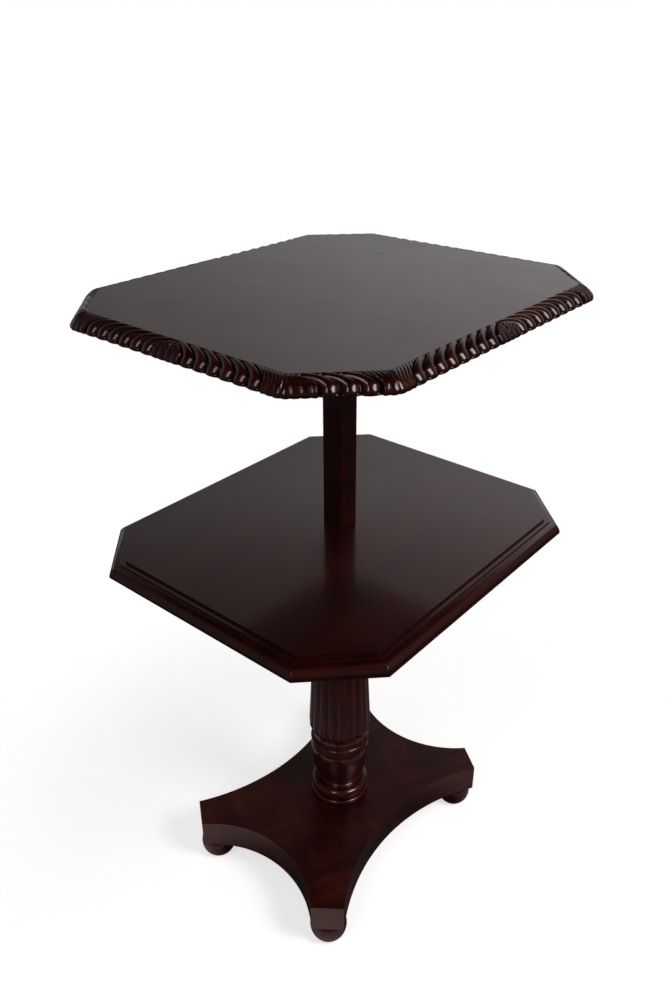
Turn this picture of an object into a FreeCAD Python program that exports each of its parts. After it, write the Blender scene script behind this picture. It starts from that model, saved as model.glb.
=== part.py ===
import FreeCAD, Part
import math
import os

# Rise-and-fall two-tier table: a reeded pedestal on a hollow-sided platform carries the lower tier,
# and a square post that slides in the pedestal carries the upper tier.
# Millimetres, +Z up, origin on the floor under the pedestal's axis. X is the short way of the table.

V = FreeCAD.Vector
UP = V(0, 0, 1)

# ---------------------------------------------------------------- driving dimensions
# Height of the whole table with the upper tier lowered. How far it rises follows from the bore's depth.
LOWERED_HEIGHT = 706.0

# Upper tier
TOP_WIDTH = 543.0                # along X, over the gadroons
TOP_LENGTH = 633.0               # along Y, over the gadroons
TOP_CANT_WIDTH = 90.0            # taken off each side at a canted corner
TOP_THICKNESS = 16.0

# Gadrooned moulding round the upper tier
GADROON_WIDTH = 17.0
GADROON_HEIGHT = 21.0
GADROON_DEPTH = 3.0              # from the lobes' crest down to the core between them
LONG_SIDE_LOBES = 8              # on each side of the middle leaf
SHORT_SIDE_LOBES = 6             # on each side of the middle leaf
CANT_LOBES = 3
MIDDLE_LEAF = 48.0               # plain ground of the middle leaf, along the edge
SIDE_CORNER_LEAF = 30.0          # ground of a corner leaf, on a long or short side
CANT_SHORT_LEAF = 20.0           # ground of a corner leaf on a cant, beside a long side
CANT_LONG_LEAF = 42.0            # ground of a corner leaf on a cant, beside a short side
LOBE_RADIUS = 10.9               # of a lobe's round nose, before the moulding's own section trims it
LOBE_TAIL_RADIUS = 2.2
LOBE_PROUD = 0.2                 # nose past the moulding's outer edge and underside, before they trim it
LOBE_TAIL_LENGTH = 15.0
LOBE_TAIL_PROUD = 0.6            # tail past the moulding's top and back, before they trim it

# Lower tier and its thumb moulding
LOWER_WIDTH = 538.0
LOWER_LENGTH = 628.0
LOWER_CANT_WIDTH = 88.0          # taken off each side at a canted corner
LOWER_THICKNESS = 22.0
FIELD_STEP = 3.5                 # drop from the field to the ledge
LEDGE_WIDTH = 8.0
LEDGE_STEP = 2.0                 # drop from the ledge to the thumb
THUMB_WIDTH = 16.5
THUMB_FILLET = 2.0               # upright band below the thumb

# Post, its iron plate and its shoe
POST_SIDE = 36.5
POST_PLAY = 0.4                  # on each side, in the throat
POST_ARRIS = 1.0
PLATE_SIDE = 120.0
PLATE_THICKNESS = 4.0
PLATE_CORNER = 18.0
SHOE_SIDE = 44.0
SHOE_PLAY = 0.5                  # on each side, in the bore
SHOE_HEIGHT = 30.0
SHOE_SOCKET = 14.0
THROAT_DEPTH = 90.0              # close-fitting square hole, below the lower tier's surface
STOP_GAP = 0.3                   # shoe to throat when raised
CLOSED_GAP = 1.0                 # gadroons to the lower tier when lowered
BORE_FLOOR_GAP = 5.0             # shoe to the bore's floor when lowered
VASE_FLOOR_THICKNESS = 70.2      # solid wood of the vase left under the bore

# Spring catch, in the post's +Y face
CATCH_WIDTH = 8.0
CATCH_THICKNESS = 1.2
CATCH_LENGTH = 108.0
CATCH_FLAT = 26.0                # stretch that lies on the groove's floor
CATCH_STAND_OUT = 4.0            # toe beyond the post's face
CATCH_GROOVE_DEPTH = 6.0
CATCH_GROOVE_PLAY = 0.6          # on each side and beyond the upper end
CATCH_TOE_GAP = 0.3

# Bearer block under the lower tier
BEARER_SIDE = 170.0
BEARER_THICKNESS = 26.0
BEARER_BEVEL = 10.0
BEARER_SCREW_SPREAD = 120.0

# Reeded shaft
REED_COUNT = 18
REED_PHASE = 14.0                # degrees from +X to the first reed
REED_RADIUS = 12.5               # of one reed's round section, at the foot
SHAFT_FOOT_RADIUS = 56.0
SHAFT_HEAD_RADIUS = 38.0
REED_END_ROUND = 10.0            # height over which the reeds round off at each end
REED_END_DROP = 7.5              # inward, over that height
REED_END_BOW = 2.2
REED_CLEARANCE = 1.5             # rounding stays this far outside the reeds' crests
REED_RUN_OUT = 4.0               # length of a reed past each end, before rounding
HEAD_RING_RADIUS = 40.0
HEAD_RING_HEIGHT = 8.0
SHAFT_TENON_RADIUS = 31.0
SHAFT_TENON_LENGTH = 20.0

# Vase turning: astragal, vase and tenons
VASE_FOOT_RADIUS = 38.5
VASE_FOOT_HEIGHT = 2.5
SCOTIA_HEIGHT = 10.0
SCOTIA_DEPTH = 3.5
VASE_BOWL_RADIUS = 44.5
VASE_BOWL_HEIGHT = 6.5
VASE_BOWL_BOW = 1.2
VASE_RADIUS = 52.5
VASE_BELLY_HEIGHT = 53.0
VASE_BELLY_BOW = 1.2
VASE_SHOULDER_RADIUS = 48.5
VASE_SHOULDER_HEIGHT = 20.0
VASE_SHOULDER_BOW = 1.6
ASTRAGAL_FILLET = 3.0
ASTRAGAL_RADIUS = 53.0
ASTRAGAL_HEIGHT = 8.0
COVE_HEIGHT = 21.5
COVE_DEPTH = 2.5
VASE_SPIGOT_RADIUS = 37.0
VASE_SPIGOT_HEIGHT = 14.0
VASE_TENON_RADIUS = 20.0

# Base ring under the vase
BASE_RING_RADIUS = 53.0
BASE_BEAD_HEIGHT = 9.5
BASE_QUIRK_HEIGHT = 2.0
BASE_TORUS_HEIGHT = 21.0

# Platform
PLATFORM_WIDTH = 351.0           # along X, over the arms' ends
PLATFORM_LENGTH = 467.5          # along Y, over the arms' ends
PLATFORM_THICKNESS = 54.5
ARM_CUT_X = 43.7                 # flat end of an arm, along X
ARM_CUT_Y = 33.4                 # flat end of an arm, along Y
LONG_SIDE_HOLLOW = 59.0
SHORT_SIDE_HOLLOW = 55.7
PLATFORM_ARRIS = 1.5

# Wedge in the tenon's end
WEDGE_LENGTH = 38.0
WEDGE_THICK_END = 6.0
WEDGE_THIN_END = 1.5

# Bun feet
FOOT_HEIGHT = 47.5
FOOT_RADIUS = 31.4
FOOT_WAIST = 24.0                # height of the foot's widest place
FOOT_BASE_RADIUS = 17.0
FOOT_NECK_RADIUS = 24.0
FOOT_INSET = 29.2                # foot's axis back from the arm's flat end
FOOT_SPIGOT_RADIUS = 11.0
FOOT_SPIGOT_HEIGHT = 24.0

# Screws
SCREW_SHANK_RADIUS = 2.4
SCREW_HEAD_RADIUS = 4.8
SCREW_HEAD_HEIGHT = 2.8
SMALL_SCREW_SHANK_RADIUS = 1.3
SMALL_SCREW_HEAD_RADIUS = 2.6
SMALL_SCREW_HEAD_HEIGHT = 1.0
PLATE_SCREW_SPREAD = 92.0        # centre to centre, of the screws into the board
PLATE_SCREW_LENGTH = 14.0
POST_SCREW_SPREAD = 18.0
POST_SCREW_LENGTH = 55.0
BEARER_SCREW_LENGTH = 40.0
SHOE_SCREW_LENGTH = 60.0
CATCH_SCREW_LENGTH = 11.0
CATCH_SCREW_SPREAD = 13.0

# Fits
GLUE_GAP = 0.05                  # radial, round a glued spigot or a driven screw

# ---------------------------------------------------------------- levels worked out from them
PLATFORM_TOP = FOOT_HEIGHT + PLATFORM_THICKNESS
BASE_RING_TOP = PLATFORM_TOP + BASE_BEAD_HEIGHT + BASE_QUIRK_HEIGHT + BASE_TORUS_HEIGHT
VASE_BOWL_LEVEL = BASE_RING_TOP + VASE_FOOT_HEIGHT + SCOTIA_HEIGHT
VASE_WIDEST_LEVEL = VASE_BOWL_LEVEL + VASE_BOWL_HEIGHT + VASE_BELLY_HEIGHT
ASTRAGAL_LEVEL = VASE_WIDEST_LEVEL + VASE_SHOULDER_HEIGHT + ASTRAGAL_FILLET
SHAFT_FOOT = ASTRAGAL_LEVEL + ASTRAGAL_HEIGHT + COVE_HEIGHT
LOWER_TIER_HEIGHT = LOWERED_HEIGHT - GADROON_HEIGHT - CLOSED_GAP
LOWER_TIER_UNDERSIDE = LOWER_TIER_HEIGHT - LOWER_THICKNESS
SHAFT_HEAD = LOWER_TIER_UNDERSIDE - BEARER_THICKNESS
THROAT_END = LOWER_TIER_HEIGHT - THROAT_DEPTH
SHOE_TOP = THROAT_END - STOP_GAP
SHOE_UNDERSIDE = SHOE_TOP - SHOE_HEIGHT
POST_FOOT = SHOE_TOP - SHOE_SOCKET
BORE_FLOOR = BASE_RING_TOP + VASE_FLOOR_THICKNESS
TRAVEL = SHOE_UNDERSIDE - BORE_FLOOR - BORE_FLOOR_GAP
TABLE_HEIGHT = LOWERED_HEIGHT + TRAVEL
TOP_UNDERSIDE = TABLE_HEIGHT - TOP_THICKNESS
GADROON_UNDERSIDE = TABLE_HEIGHT - GADROON_HEIGHT
POST_HEAD = TOP_UNDERSIDE - PLATE_THICKNESS

# Angles in degrees
FULL_TURN = 360.0
CANT_TURN = 45.0


# ---------------------------------------------------------------- helpers
def save(name, shape):
    """Write one node's solid, or group of solids, to its STEP file."""
    shape.exportStep(os.path.join("parts", name + ".step"))


def box(x_size, y_size, low, high):
    """Upright block centred on the pedestal's axis, from z = low to z = high."""
    return Part.makeBox(x_size, y_size, high - low, V(-x_size / 2, -y_size / 2, low))


def cylinder(radius, low, high, x=0.0, y=0.0):
    """Upright cylinder from z = low to z = high."""
    return Part.makeCylinder(radius, high - low, V(x, y, low))


def lines(points):
    """Straight edges through the points, in order and not closed."""
    return [Part.LineSegment(a, b).toShape() for a, b in zip(points, points[1:])]


def arc(start, middle, end):
    """Circular edge through three points."""
    return Part.Arc(start, middle, end).toShape()


def rz(radius, z):
    """Point of a turned profile."""
    return V(radius, 0, z)


def bowed(start, end, bow):
    """Circular edge up a turned profile, swelling outwards by the bow, or hollowed where it is negative."""
    chord = end - start
    outward = V(chord.z, 0, -chord.x).normalize()
    return arc(start, (start + end) * 0.5 + outward * bow, end)


def half_round(inner_radius, low, high):
    """Edge of a turned bead that stands on two levels."""
    return bowed(rz(inner_radius, low), rz(inner_radius, high), (high - low) / 2)


def face(edges):
    """Flat face inside a closed run of edges."""
    return Part.Face(Part.Wire(edges))


def polygon_prism(points, low, high):
    """Upright prism over a polygon given by its (x, y) corners."""
    corners = [V(x, y, low) for x, y in points]
    return face(lines(corners + corners[:1])).extrude(UP * (high - low))


def turned(edges):
    """Solid turned round the Z axis from edges in the XZ plane."""
    return face(edges).revolve(V(0, 0, 0), UP, FULL_TURN)


def countersunk_screw(tip, head, shank_radius, head_radius, head_height, gap=0.0):
    """Screw from its tip to its flat head, or with a gap the hole that it sits in."""
    axis = (head - tip).normalize()
    shank = Part.makeCylinder(shank_radius + gap, (head - tip).Length, tip, axis)
    cone = Part.makeCone(shank_radius + gap, head_radius + gap, head_height, head - axis * head_height, axis)
    return shank.fuse(cone).removeSplitter()


def square_pattern(spread):
    """Four (x, y) places at the corners of a square."""
    half = spread / 2
    return [(half, half), (-half, half), (-half, -half), (half, -half)]


def group(solids):
    """Separate solids kept together in one node."""
    return Part.makeCompound(solids)


# ---------------------------------------------------------------- canted octagon
def octagon(width, length, cut, inset=0.0):
    """Corners of a rectangle with its corners cut at 45 degrees, moved in by an inset."""
    a = width / 2 - inset
    b = length / 2 - inset
    c = cut - inset * (2 - math.sqrt(2))
    right = [(a, c - b), (a, b - c), (a - c, b)]
    left = [(c - a, b), (-a, b - c), (-a, c - b)]
    return right + left + [(c - a, -b), (a - c, -b)]


def thumb_moulded_bar(half_width, turn, reach):
    """Long bar with the lower tier's moulded section on both edges, turned about Z."""
    low = LOWER_TIER_UNDERSIDE
    thumb_low = low + THUMB_FILLET
    thumb_high = LOWER_TIER_HEIGHT - FIELD_STEP - LEDGE_STEP
    ledge = LOWER_TIER_HEIGHT - FIELD_STEP
    thumb_in = half_width - THUMB_WIDTH
    field_in = thumb_in - LEDGE_WIDTH
    bend = math.sqrt(0.5)
    edges = []
    for side in (1, -1):
        thumb = arc(
            V(0, side * half_width, thumb_low),
            V(0, side * (thumb_in + THUMB_WIDTH * bend), thumb_low + (thumb_high - thumb_low) * bend),
            V(0, side * thumb_in, thumb_high),
        )
        steps = [(thumb_in, thumb_high), (thumb_in, ledge), (field_in, ledge), (field_in, LOWER_TIER_HEIGHT)]
        edges += lines([V(0, 0, low), V(0, side * half_width, low), V(0, side * half_width, thumb_low)])
        edges += [thumb] + lines([V(0, side * y, z) for y, z in steps + [(0, LOWER_TIER_HEIGHT)]])
    section = Part.Face(Part.Wire(Part.__sortEdges__(edges)))
    section.translate(V(-reach, 0, 0))
    bar = section.extrude(V(2 * reach, 0, 0))
    bar.rotate(V(0, 0, 0), UP, turn)
    return bar


# ---------------------------------------------------------------- upper tier
def make_top_board():
    """Flat board inside the gadrooned moulding, drilled for the plate's screws."""
    outline = octagon(TOP_WIDTH, TOP_LENGTH, TOP_CANT_WIDTH, GADROON_WIDTH)
    board = polygon_prism(outline, TOP_UNDERSIDE, TABLE_HEIGHT)
    return board.cut(group(plate_board_screws(GLUE_GAP)))


def gadroon_section(depth):
    """Moulding's section in the YZ plane, outer edge on y = 0, sunk by a depth below the lobes' crest.

    A quarter round as wide as the moulding, over a small round that turns under it.
    """
    under = GADROON_HEIGHT - GADROON_WIDTH
    level = TABLE_HEIGHT - GADROON_WIDTH
    diagonal = math.sqrt(0.5)
    face_round = GADROON_WIDTH - depth
    under_round = under - depth
    top = V(0, -GADROON_WIDTH, level + face_round)
    shoulder = V(0, face_round * diagonal - GADROON_WIDTH, level + face_round * diagonal)
    side = V(0, -depth, level)
    turn = V(0, under_round * diagonal - under, level - under_round * diagonal)
    bottom = V(0, -under, level - under_round)
    back_edges = lines([bottom, V(0, -GADROON_WIDTH, bottom.z), top])
    return face([arc(top, shoulder, side), arc(side, turn, bottom)] + back_edges)


def gadroon_bar(depth, start, end):
    """Stretch of the plain moulding between two places along it."""
    section = gadroon_section(depth)
    section.translate(V(start, 0, 0))
    return section.extrude(V(end - start, 0, 0))


def gadroon_lobe(place, lean):
    """One nulled lobe: a round nose with a tail that leans along the edge (lean is 1 or -1)."""
    nose_depth = LOBE_RADIUS - LOBE_PROUD
    tail_depth = LOBE_TAIL_RADIUS - LOBE_TAIL_PROUD
    nose = V(place, -nose_depth, GADROON_UNDERSIDE + nose_depth)
    tail_end = V(place + lean * LOBE_TAIL_LENGTH, tail_depth - GADROON_WIDTH, TABLE_HEIGHT - tail_depth)
    along = tail_end - nose
    sine = (LOBE_RADIUS - LOBE_TAIL_RADIUS) / along.Length
    cosine = math.sqrt(1 - sine * sine)
    shoulder = rz(LOBE_RADIUS * cosine, LOBE_RADIUS * sine)
    tip = rz(LOBE_TAIL_RADIUS * cosine, along.Length + LOBE_TAIL_RADIUS * sine)
    nose_side = LOBE_RADIUS * math.sqrt(0.5)
    nose_round = arc(rz(0, -LOBE_RADIUS), rz(nose_side, -nose_side), shoulder)
    lobe = turned([nose_round] + lines([shoulder, tip, rz(0, tip.z), rz(0, -LOBE_RADIUS)]))
    lobe.Placement = FreeCAD.Placement(nose, FreeCAD.Rotation(UP, along))
    return lobe


def lobe_places(start, end, count):
    """Middles of equal divisions between two places along a moulding."""
    return [start + (end - start) * (index + 0.5) / count for index in range(count)]


def make_gadroon(length, leaves, lobes):
    """Mitred gadrooned moulding with its outer edge along X, centred on the origin's X.

    Leaves are (start, end) stretches of plain ground, and lobes are (place, lean) pairs.
    """
    half = length / 2
    mitre = GADROON_WIDTH * math.tan(math.radians(CANT_TURN / 2))
    footprint = [(-half, 0), (half, 0), (half - mitre, -GADROON_WIDTH), (mitre - half, -GADROON_WIDTH)]
    envelope = polygon_prism(footprint, GADROON_UNDERSIDE, TABLE_HEIGHT).common(gadroon_bar(0, -half, half))
    pieces = [gadroon_bar(0, start, end) for start, end in leaves]
    pieces += [gadroon_lobe(place, lean) for place, lean in lobes]
    moulding = gadroon_bar(GADROON_DEPTH, -half, half).fuse(pieces)
    return moulding.common(envelope).removeSplitter()


def make_side_gadroon(length, lobe_count):
    """Moulding of a long or short side, with lobes that lean to the leaf in its middle."""
    half = length / 2
    ground = half - SIDE_CORNER_LEAF
    leaf = MIDDLE_LEAF / 2
    places = lobe_places(leaf, ground, lobe_count)
    lobes = [(place, -1) for place in places] + [(-place, 1) for place in places]
    return make_gadroon(length, [(-half, -ground), (-leaf, leaf), (ground, half)], lobes)


def make_cant_gadroon(length, lean):
    """Moulding of a cut corner, with lobes that lean to its longer leaf (lean is 1 or -1)."""
    half = length / 2
    long_leaf = lean * (half - CANT_LONG_LEAF)
    short_leaf = lean * (CANT_SHORT_LEAF - half)
    leaves = [sorted([long_leaf, lean * half]), sorted([short_leaf, -lean * half])]
    lobes = [(place, lean) for place in lobe_places(long_leaf, short_leaf, CANT_LOBES)]
    return make_gadroon(length, leaves, lobes)


def place_on_edge(moulding, x, y, turn):
    """Copy of a moulding turned from facing +Y (degrees), with its middle at (x, y)."""
    copy = moulding.copy()
    copy.rotate(V(0, 0, 0), UP, turn)
    copy.translate(V(x, y, 0))
    return copy


def make_gadroons():
    """The eight edge mouldings by node name."""
    a = TOP_WIDTH / 2
    b = TOP_LENGTH / 2
    cut = TOP_CANT_WIDTH
    cant_length = cut * math.sqrt(2)
    long_side = make_side_gadroon(TOP_LENGTH - 2 * cut, LONG_SIDE_LOBES)
    short_side = make_side_gadroon(TOP_WIDTH - 2 * cut, SHORT_SIDE_LOBES)
    cant = make_cant_gadroon(cant_length, 1)
    mirrored_cant = make_cant_gadroon(cant_length, -1)
    cant_x = a - cut / 2
    cant_y = b - cut / 2
    half_turn = FULL_TURN / 2
    return {
        "gadroon_long_right": place_on_edge(long_side, a, 0, -half_turn / 2),
        "gadroon_long_left": place_on_edge(long_side, -a, 0, half_turn / 2),
        "gadroon_short_front": place_on_edge(short_side, 0, -b, half_turn),
        "gadroon_short_back": place_on_edge(short_side, 0, b, 0),
        "gadroon_cant_front_right": place_on_edge(cant, cant_x, -cant_y, half_turn + CANT_TURN),
        "gadroon_cant_back_right": place_on_edge(mirrored_cant, cant_x, cant_y, -CANT_TURN),
        "gadroon_cant_back_left": place_on_edge(cant, -cant_x, cant_y, CANT_TURN),
        "gadroon_cant_front_left": place_on_edge(mirrored_cant, -cant_x, -cant_y, half_turn - CANT_TURN),
    }


def plate_board_screws(gap=0.0):
    """Screws from the plate's underside up into the board."""
    sizes = (SCREW_SHANK_RADIUS, SCREW_HEAD_RADIUS, SCREW_HEAD_HEIGHT)
    half = PLATE_SCREW_SPREAD / 2
    places = square_pattern(PLATE_SCREW_SPREAD) + [(half, 0), (-half, 0), (0, half), (0, -half)]
    return [
        countersunk_screw(V(x, y, POST_HEAD + PLATE_SCREW_LENGTH), V(x, y, POST_HEAD), *sizes, gap)
        for x, y in places
    ]


def plate_post_screws(gap=0.0):
    """Screws from the plate's upper face down into the post's end."""
    sizes = (SCREW_SHANK_RADIUS, SCREW_HEAD_RADIUS, SCREW_HEAD_HEIGHT)
    return [
        countersunk_screw(V(x, y, TOP_UNDERSIDE - POST_SCREW_LENGTH), V(x, y, TOP_UNDERSIDE), *sizes, gap)
        for x, y in square_pattern(POST_SCREW_SPREAD)
    ]


def make_post_plate():
    """Iron plate with clipped corners between the post and the board."""
    plate = polygon_prism(octagon(PLATE_SIDE, PLATE_SIDE, PLATE_CORNER), POST_HEAD, TOP_UNDERSIDE)
    return plate.cut(group(plate_board_screws(GLUE_GAP) + plate_post_screws(GLUE_GAP)))


def catch_toe():
    """Height of the catch's toe, just clear of the lower tier."""
    return LOWER_TIER_HEIGHT + CATCH_TOE_GAP


def catch_floor():
    """Y of the groove's floor in the post."""
    return POST_SIDE / 2 - CATCH_GROOVE_DEPTH


def catch_screws(gap=0.0):
    """Screws through the catch's flat stretch into the post."""
    sizes = (SMALL_SCREW_SHANK_RADIUS, SMALL_SCREW_HEAD_RADIUS, SMALL_SCREW_HEAD_HEIGHT)
    middle = catch_toe() + CATCH_LENGTH - CATCH_FLAT / 2
    face_y = catch_floor() + CATCH_THICKNESS
    return [
        countersunk_screw(V(0, face_y - CATCH_SCREW_LENGTH, z), V(0, face_y, z), *sizes, gap)
        for z in (middle - CATCH_SCREW_SPREAD / 2, middle + CATCH_SCREW_SPREAD / 2)
    ]


def make_spring_catch():
    """Flat spring: its upper stretch is screwed down, its lower end stands out as a toe."""
    floor = catch_floor()
    toe = catch_toe()
    bend = toe + CATCH_LENGTH - CATCH_FLAT
    top = toe + CATCH_LENGTH
    outer = POST_SIDE / 2 + CATCH_STAND_OUT
    thick = CATCH_THICKNESS
    section = [(floor, top), (floor + thick, top), (floor + thick, bend), (outer, toe), (outer - thick, toe)]
    corners = [V(-CATCH_WIDTH / 2, y, z) for y, z in section + [(floor, bend)]]
    leaf = face(lines(corners + corners[:1])).extrude(V(CATCH_WIDTH, 0, 0))
    return leaf.cut(group(catch_screws(GLUE_GAP)))


def make_post():
    """Square post with eased arrises, the catch's groove and its screw holes."""
    post = box(POST_SIDE, POST_SIDE, POST_FOOT, POST_HEAD)
    post = post.makeChamfer(POST_ARRIS, [edge for edge in post.Edges if edge.BoundBox.ZLength > SHOE_SOCKET])
    groove_width = CATCH_WIDTH + 2 * CATCH_GROOVE_PLAY
    groove_top = catch_toe() + CATCH_LENGTH + CATCH_GROOVE_PLAY
    groove_height = groove_top - LOWER_TIER_HEIGHT
    groove_start = V(-groove_width / 2, catch_floor(), LOWER_TIER_HEIGHT)
    groove = Part.makeBox(groove_width, CATCH_GROOVE_DEPTH, groove_height, groove_start)
    holes = plate_post_screws(GLUE_GAP) + [shoe_screw(GLUE_GAP)] + catch_screws(GLUE_GAP)
    return post.cut(groove).cut(group(holes))


def shoe_screw(gap=0.0):
    """Screw from under the shoe up into the post's end."""
    tip = V(0, 0, SHOE_UNDERSIDE + SHOE_SCREW_LENGTH)
    head = V(0, 0, SHOE_UNDERSIDE)
    return countersunk_screw(tip, head, SCREW_SHANK_RADIUS, SCREW_HEAD_RADIUS, SCREW_HEAD_HEIGHT, gap)


def make_post_shoe():
    """Guide block that the post's lower end is let into."""
    shoe = box(SHOE_SIDE, SHOE_SIDE, SHOE_UNDERSIDE, SHOE_TOP)
    socket_side = POST_SIDE + 2 * GLUE_GAP
    return shoe.cut(box(socket_side, socket_side, POST_FOOT, SHOE_TOP)).cut(shoe_screw(GLUE_GAP))


# ---------------------------------------------------------------- lower tier
def throat(low, high):
    """Square hole that guides the post."""
    side = POST_SIDE + 2 * POST_PLAY
    return box(side, side, low, high)


def bearer_screws(gap=0.0):
    """Screws from the block's underside up into the lower tier."""
    sizes = (SCREW_SHANK_RADIUS, SCREW_HEAD_RADIUS, SCREW_HEAD_HEIGHT)
    return [
        countersunk_screw(V(x, y, SHAFT_HEAD + BEARER_SCREW_LENGTH), V(x, y, SHAFT_HEAD), *sizes, gap)
        for x, y in square_pattern(BEARER_SCREW_SPREAD)
    ]


def make_lower_board():
    """Lower tier: the moulded section run round the octagon, mitred at its eight corners."""
    a = LOWER_WIDTH / 2
    b = LOWER_LENGTH / 2
    across_cants = (a + b - LOWER_CANT_WIDTH) / math.sqrt(2)
    reach = a + b
    board = thumb_moulded_bar(b, 0, reach)
    for half_width, turn in ((a, 2 * CANT_TURN), (across_cants, CANT_TURN), (across_cants, -CANT_TURN)):
        board = board.common(thumb_moulded_bar(half_width, turn, reach))
    board = board.cut(throat(LOWER_TIER_UNDERSIDE, LOWER_TIER_HEIGHT))
    return board.cut(group(bearer_screws(GLUE_GAP))).removeSplitter()


def make_bearer_block():
    """Bevelled block that joins the lower tier to the shaft's tenon."""
    block = box(BEARER_SIDE, BEARER_SIDE, SHAFT_HEAD, LOWER_TIER_UNDERSIDE)
    rim = [edge for edge in block.Edges if edge.BoundBox.ZMax < SHAFT_HEAD + GLUE_GAP]
    block = block.makeChamfer(BEARER_BEVEL, rim)
    socket = cylinder(SHAFT_TENON_RADIUS + GLUE_GAP, SHAFT_HEAD, SHAFT_HEAD + SHAFT_TENON_LENGTH)
    block = block.cut(socket).cut(throat(SHAFT_HEAD, LOWER_TIER_UNDERSIDE))
    return block.cut(group(bearer_screws(GLUE_GAP)))


# ---------------------------------------------------------------- column
def reed(turn):
    """One reed: a slender cone that leans in with the shaft's taper, turned about the axis (degrees)."""
    low = SHAFT_FOOT - REED_RUN_OUT
    high = SHAFT_HEAD - HEAD_RING_HEIGHT + REED_RUN_OUT
    foot = rz((SHAFT_FOOT_RADIUS - REED_RADIUS) * reed_taper(low), low)
    head = rz((SHAFT_FOOT_RADIUS - REED_RADIUS) * reed_taper(high), high)
    ends = REED_RADIUS * reed_taper(low), REED_RADIUS * reed_taper(high)
    cone = Part.makeCone(*ends, (head - foot).Length, foot, head - foot)
    cone.rotate(V(0, 0, 0), UP, turn)
    return cone


def reed_taper(z):
    """Size of the reeded section at a level, as a share of its size at the shaft's foot."""
    rise = SHAFT_HEAD - HEAD_RING_HEIGHT - SHAFT_FOOT
    return 1 + (SHAFT_HEAD_RADIUS / SHAFT_FOOT_RADIUS - 1) * (z - SHAFT_FOOT) / rise


def reed_end_envelope():
    """Turned shape that rounds off the reeds at both ends of the shaft and stays clear of them between."""
    low = SHAFT_FOOT
    high = SHAFT_HEAD - HEAD_RING_HEIGHT
    foot_in = SHAFT_FOOT_RADIUS - REED_END_DROP
    head_in = SHAFT_HEAD_RADIUS - REED_END_DROP
    foot_out = rz(SHAFT_FOOT_RADIUS + REED_CLEARANCE, low + REED_END_ROUND)
    head_out = rz(SHAFT_HEAD_RADIUS + REED_CLEARANCE, high - REED_END_ROUND)
    foot_round = bowed(rz(foot_in, low), foot_out, REED_END_BOW)
    head_round = bowed(head_out, rz(head_in, high), REED_END_BOW)
    ends = lines([rz(head_in, high), rz(0, high), rz(0, low), rz(foot_in, low)])
    return turned([foot_round] + lines([foot_out, head_out]) + [head_round] + ends)


def shoe_bore(low, high):
    """Square bore that the shoe runs in."""
    side = SHOE_SIDE + 2 * SHOE_PLAY
    return box(side, side, low, high)


def make_column_shaft():
    """Tapering reeded shaft with a ring and a tenon at its head, bored for the post and its shoe."""
    high = SHAFT_HEAD - HEAD_RING_HEIGHT
    core_radius = SHAFT_FOOT_RADIUS - REED_RADIUS
    core = Part.makeCone(core_radius, core_radius * reed_taper(high), high - SHAFT_FOOT, rz(0, SHAFT_FOOT))
    reeds = [reed(REED_PHASE + FULL_TURN * index / REED_COUNT) for index in range(REED_COUNT)]
    reeded = core.fuse(reeds).common(reed_end_envelope())
    ring_in = HEAD_RING_RADIUS - HEAD_RING_HEIGHT / 2
    ring_back = lines([rz(ring_in, SHAFT_HEAD), rz(0, SHAFT_HEAD), rz(0, high), rz(ring_in, high)])
    ring = turned([half_round(ring_in, high, SHAFT_HEAD)] + ring_back)
    tenon_top = SHAFT_HEAD + SHAFT_TENON_LENGTH
    shaft = reeded.fuse([ring, cylinder(SHAFT_TENON_RADIUS, SHAFT_HEAD, tenon_top)]).removeSplitter()
    socket_top = SHAFT_FOOT + VASE_SPIGOT_HEIGHT + GLUE_GAP
    socket = cylinder(VASE_SPIGOT_RADIUS + GLUE_GAP, SHAFT_FOOT, socket_top)
    return shaft.cut([throat(THROAT_END, tenon_top), shoe_bore(SHAFT_FOOT, THROAT_END), socket])


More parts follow.
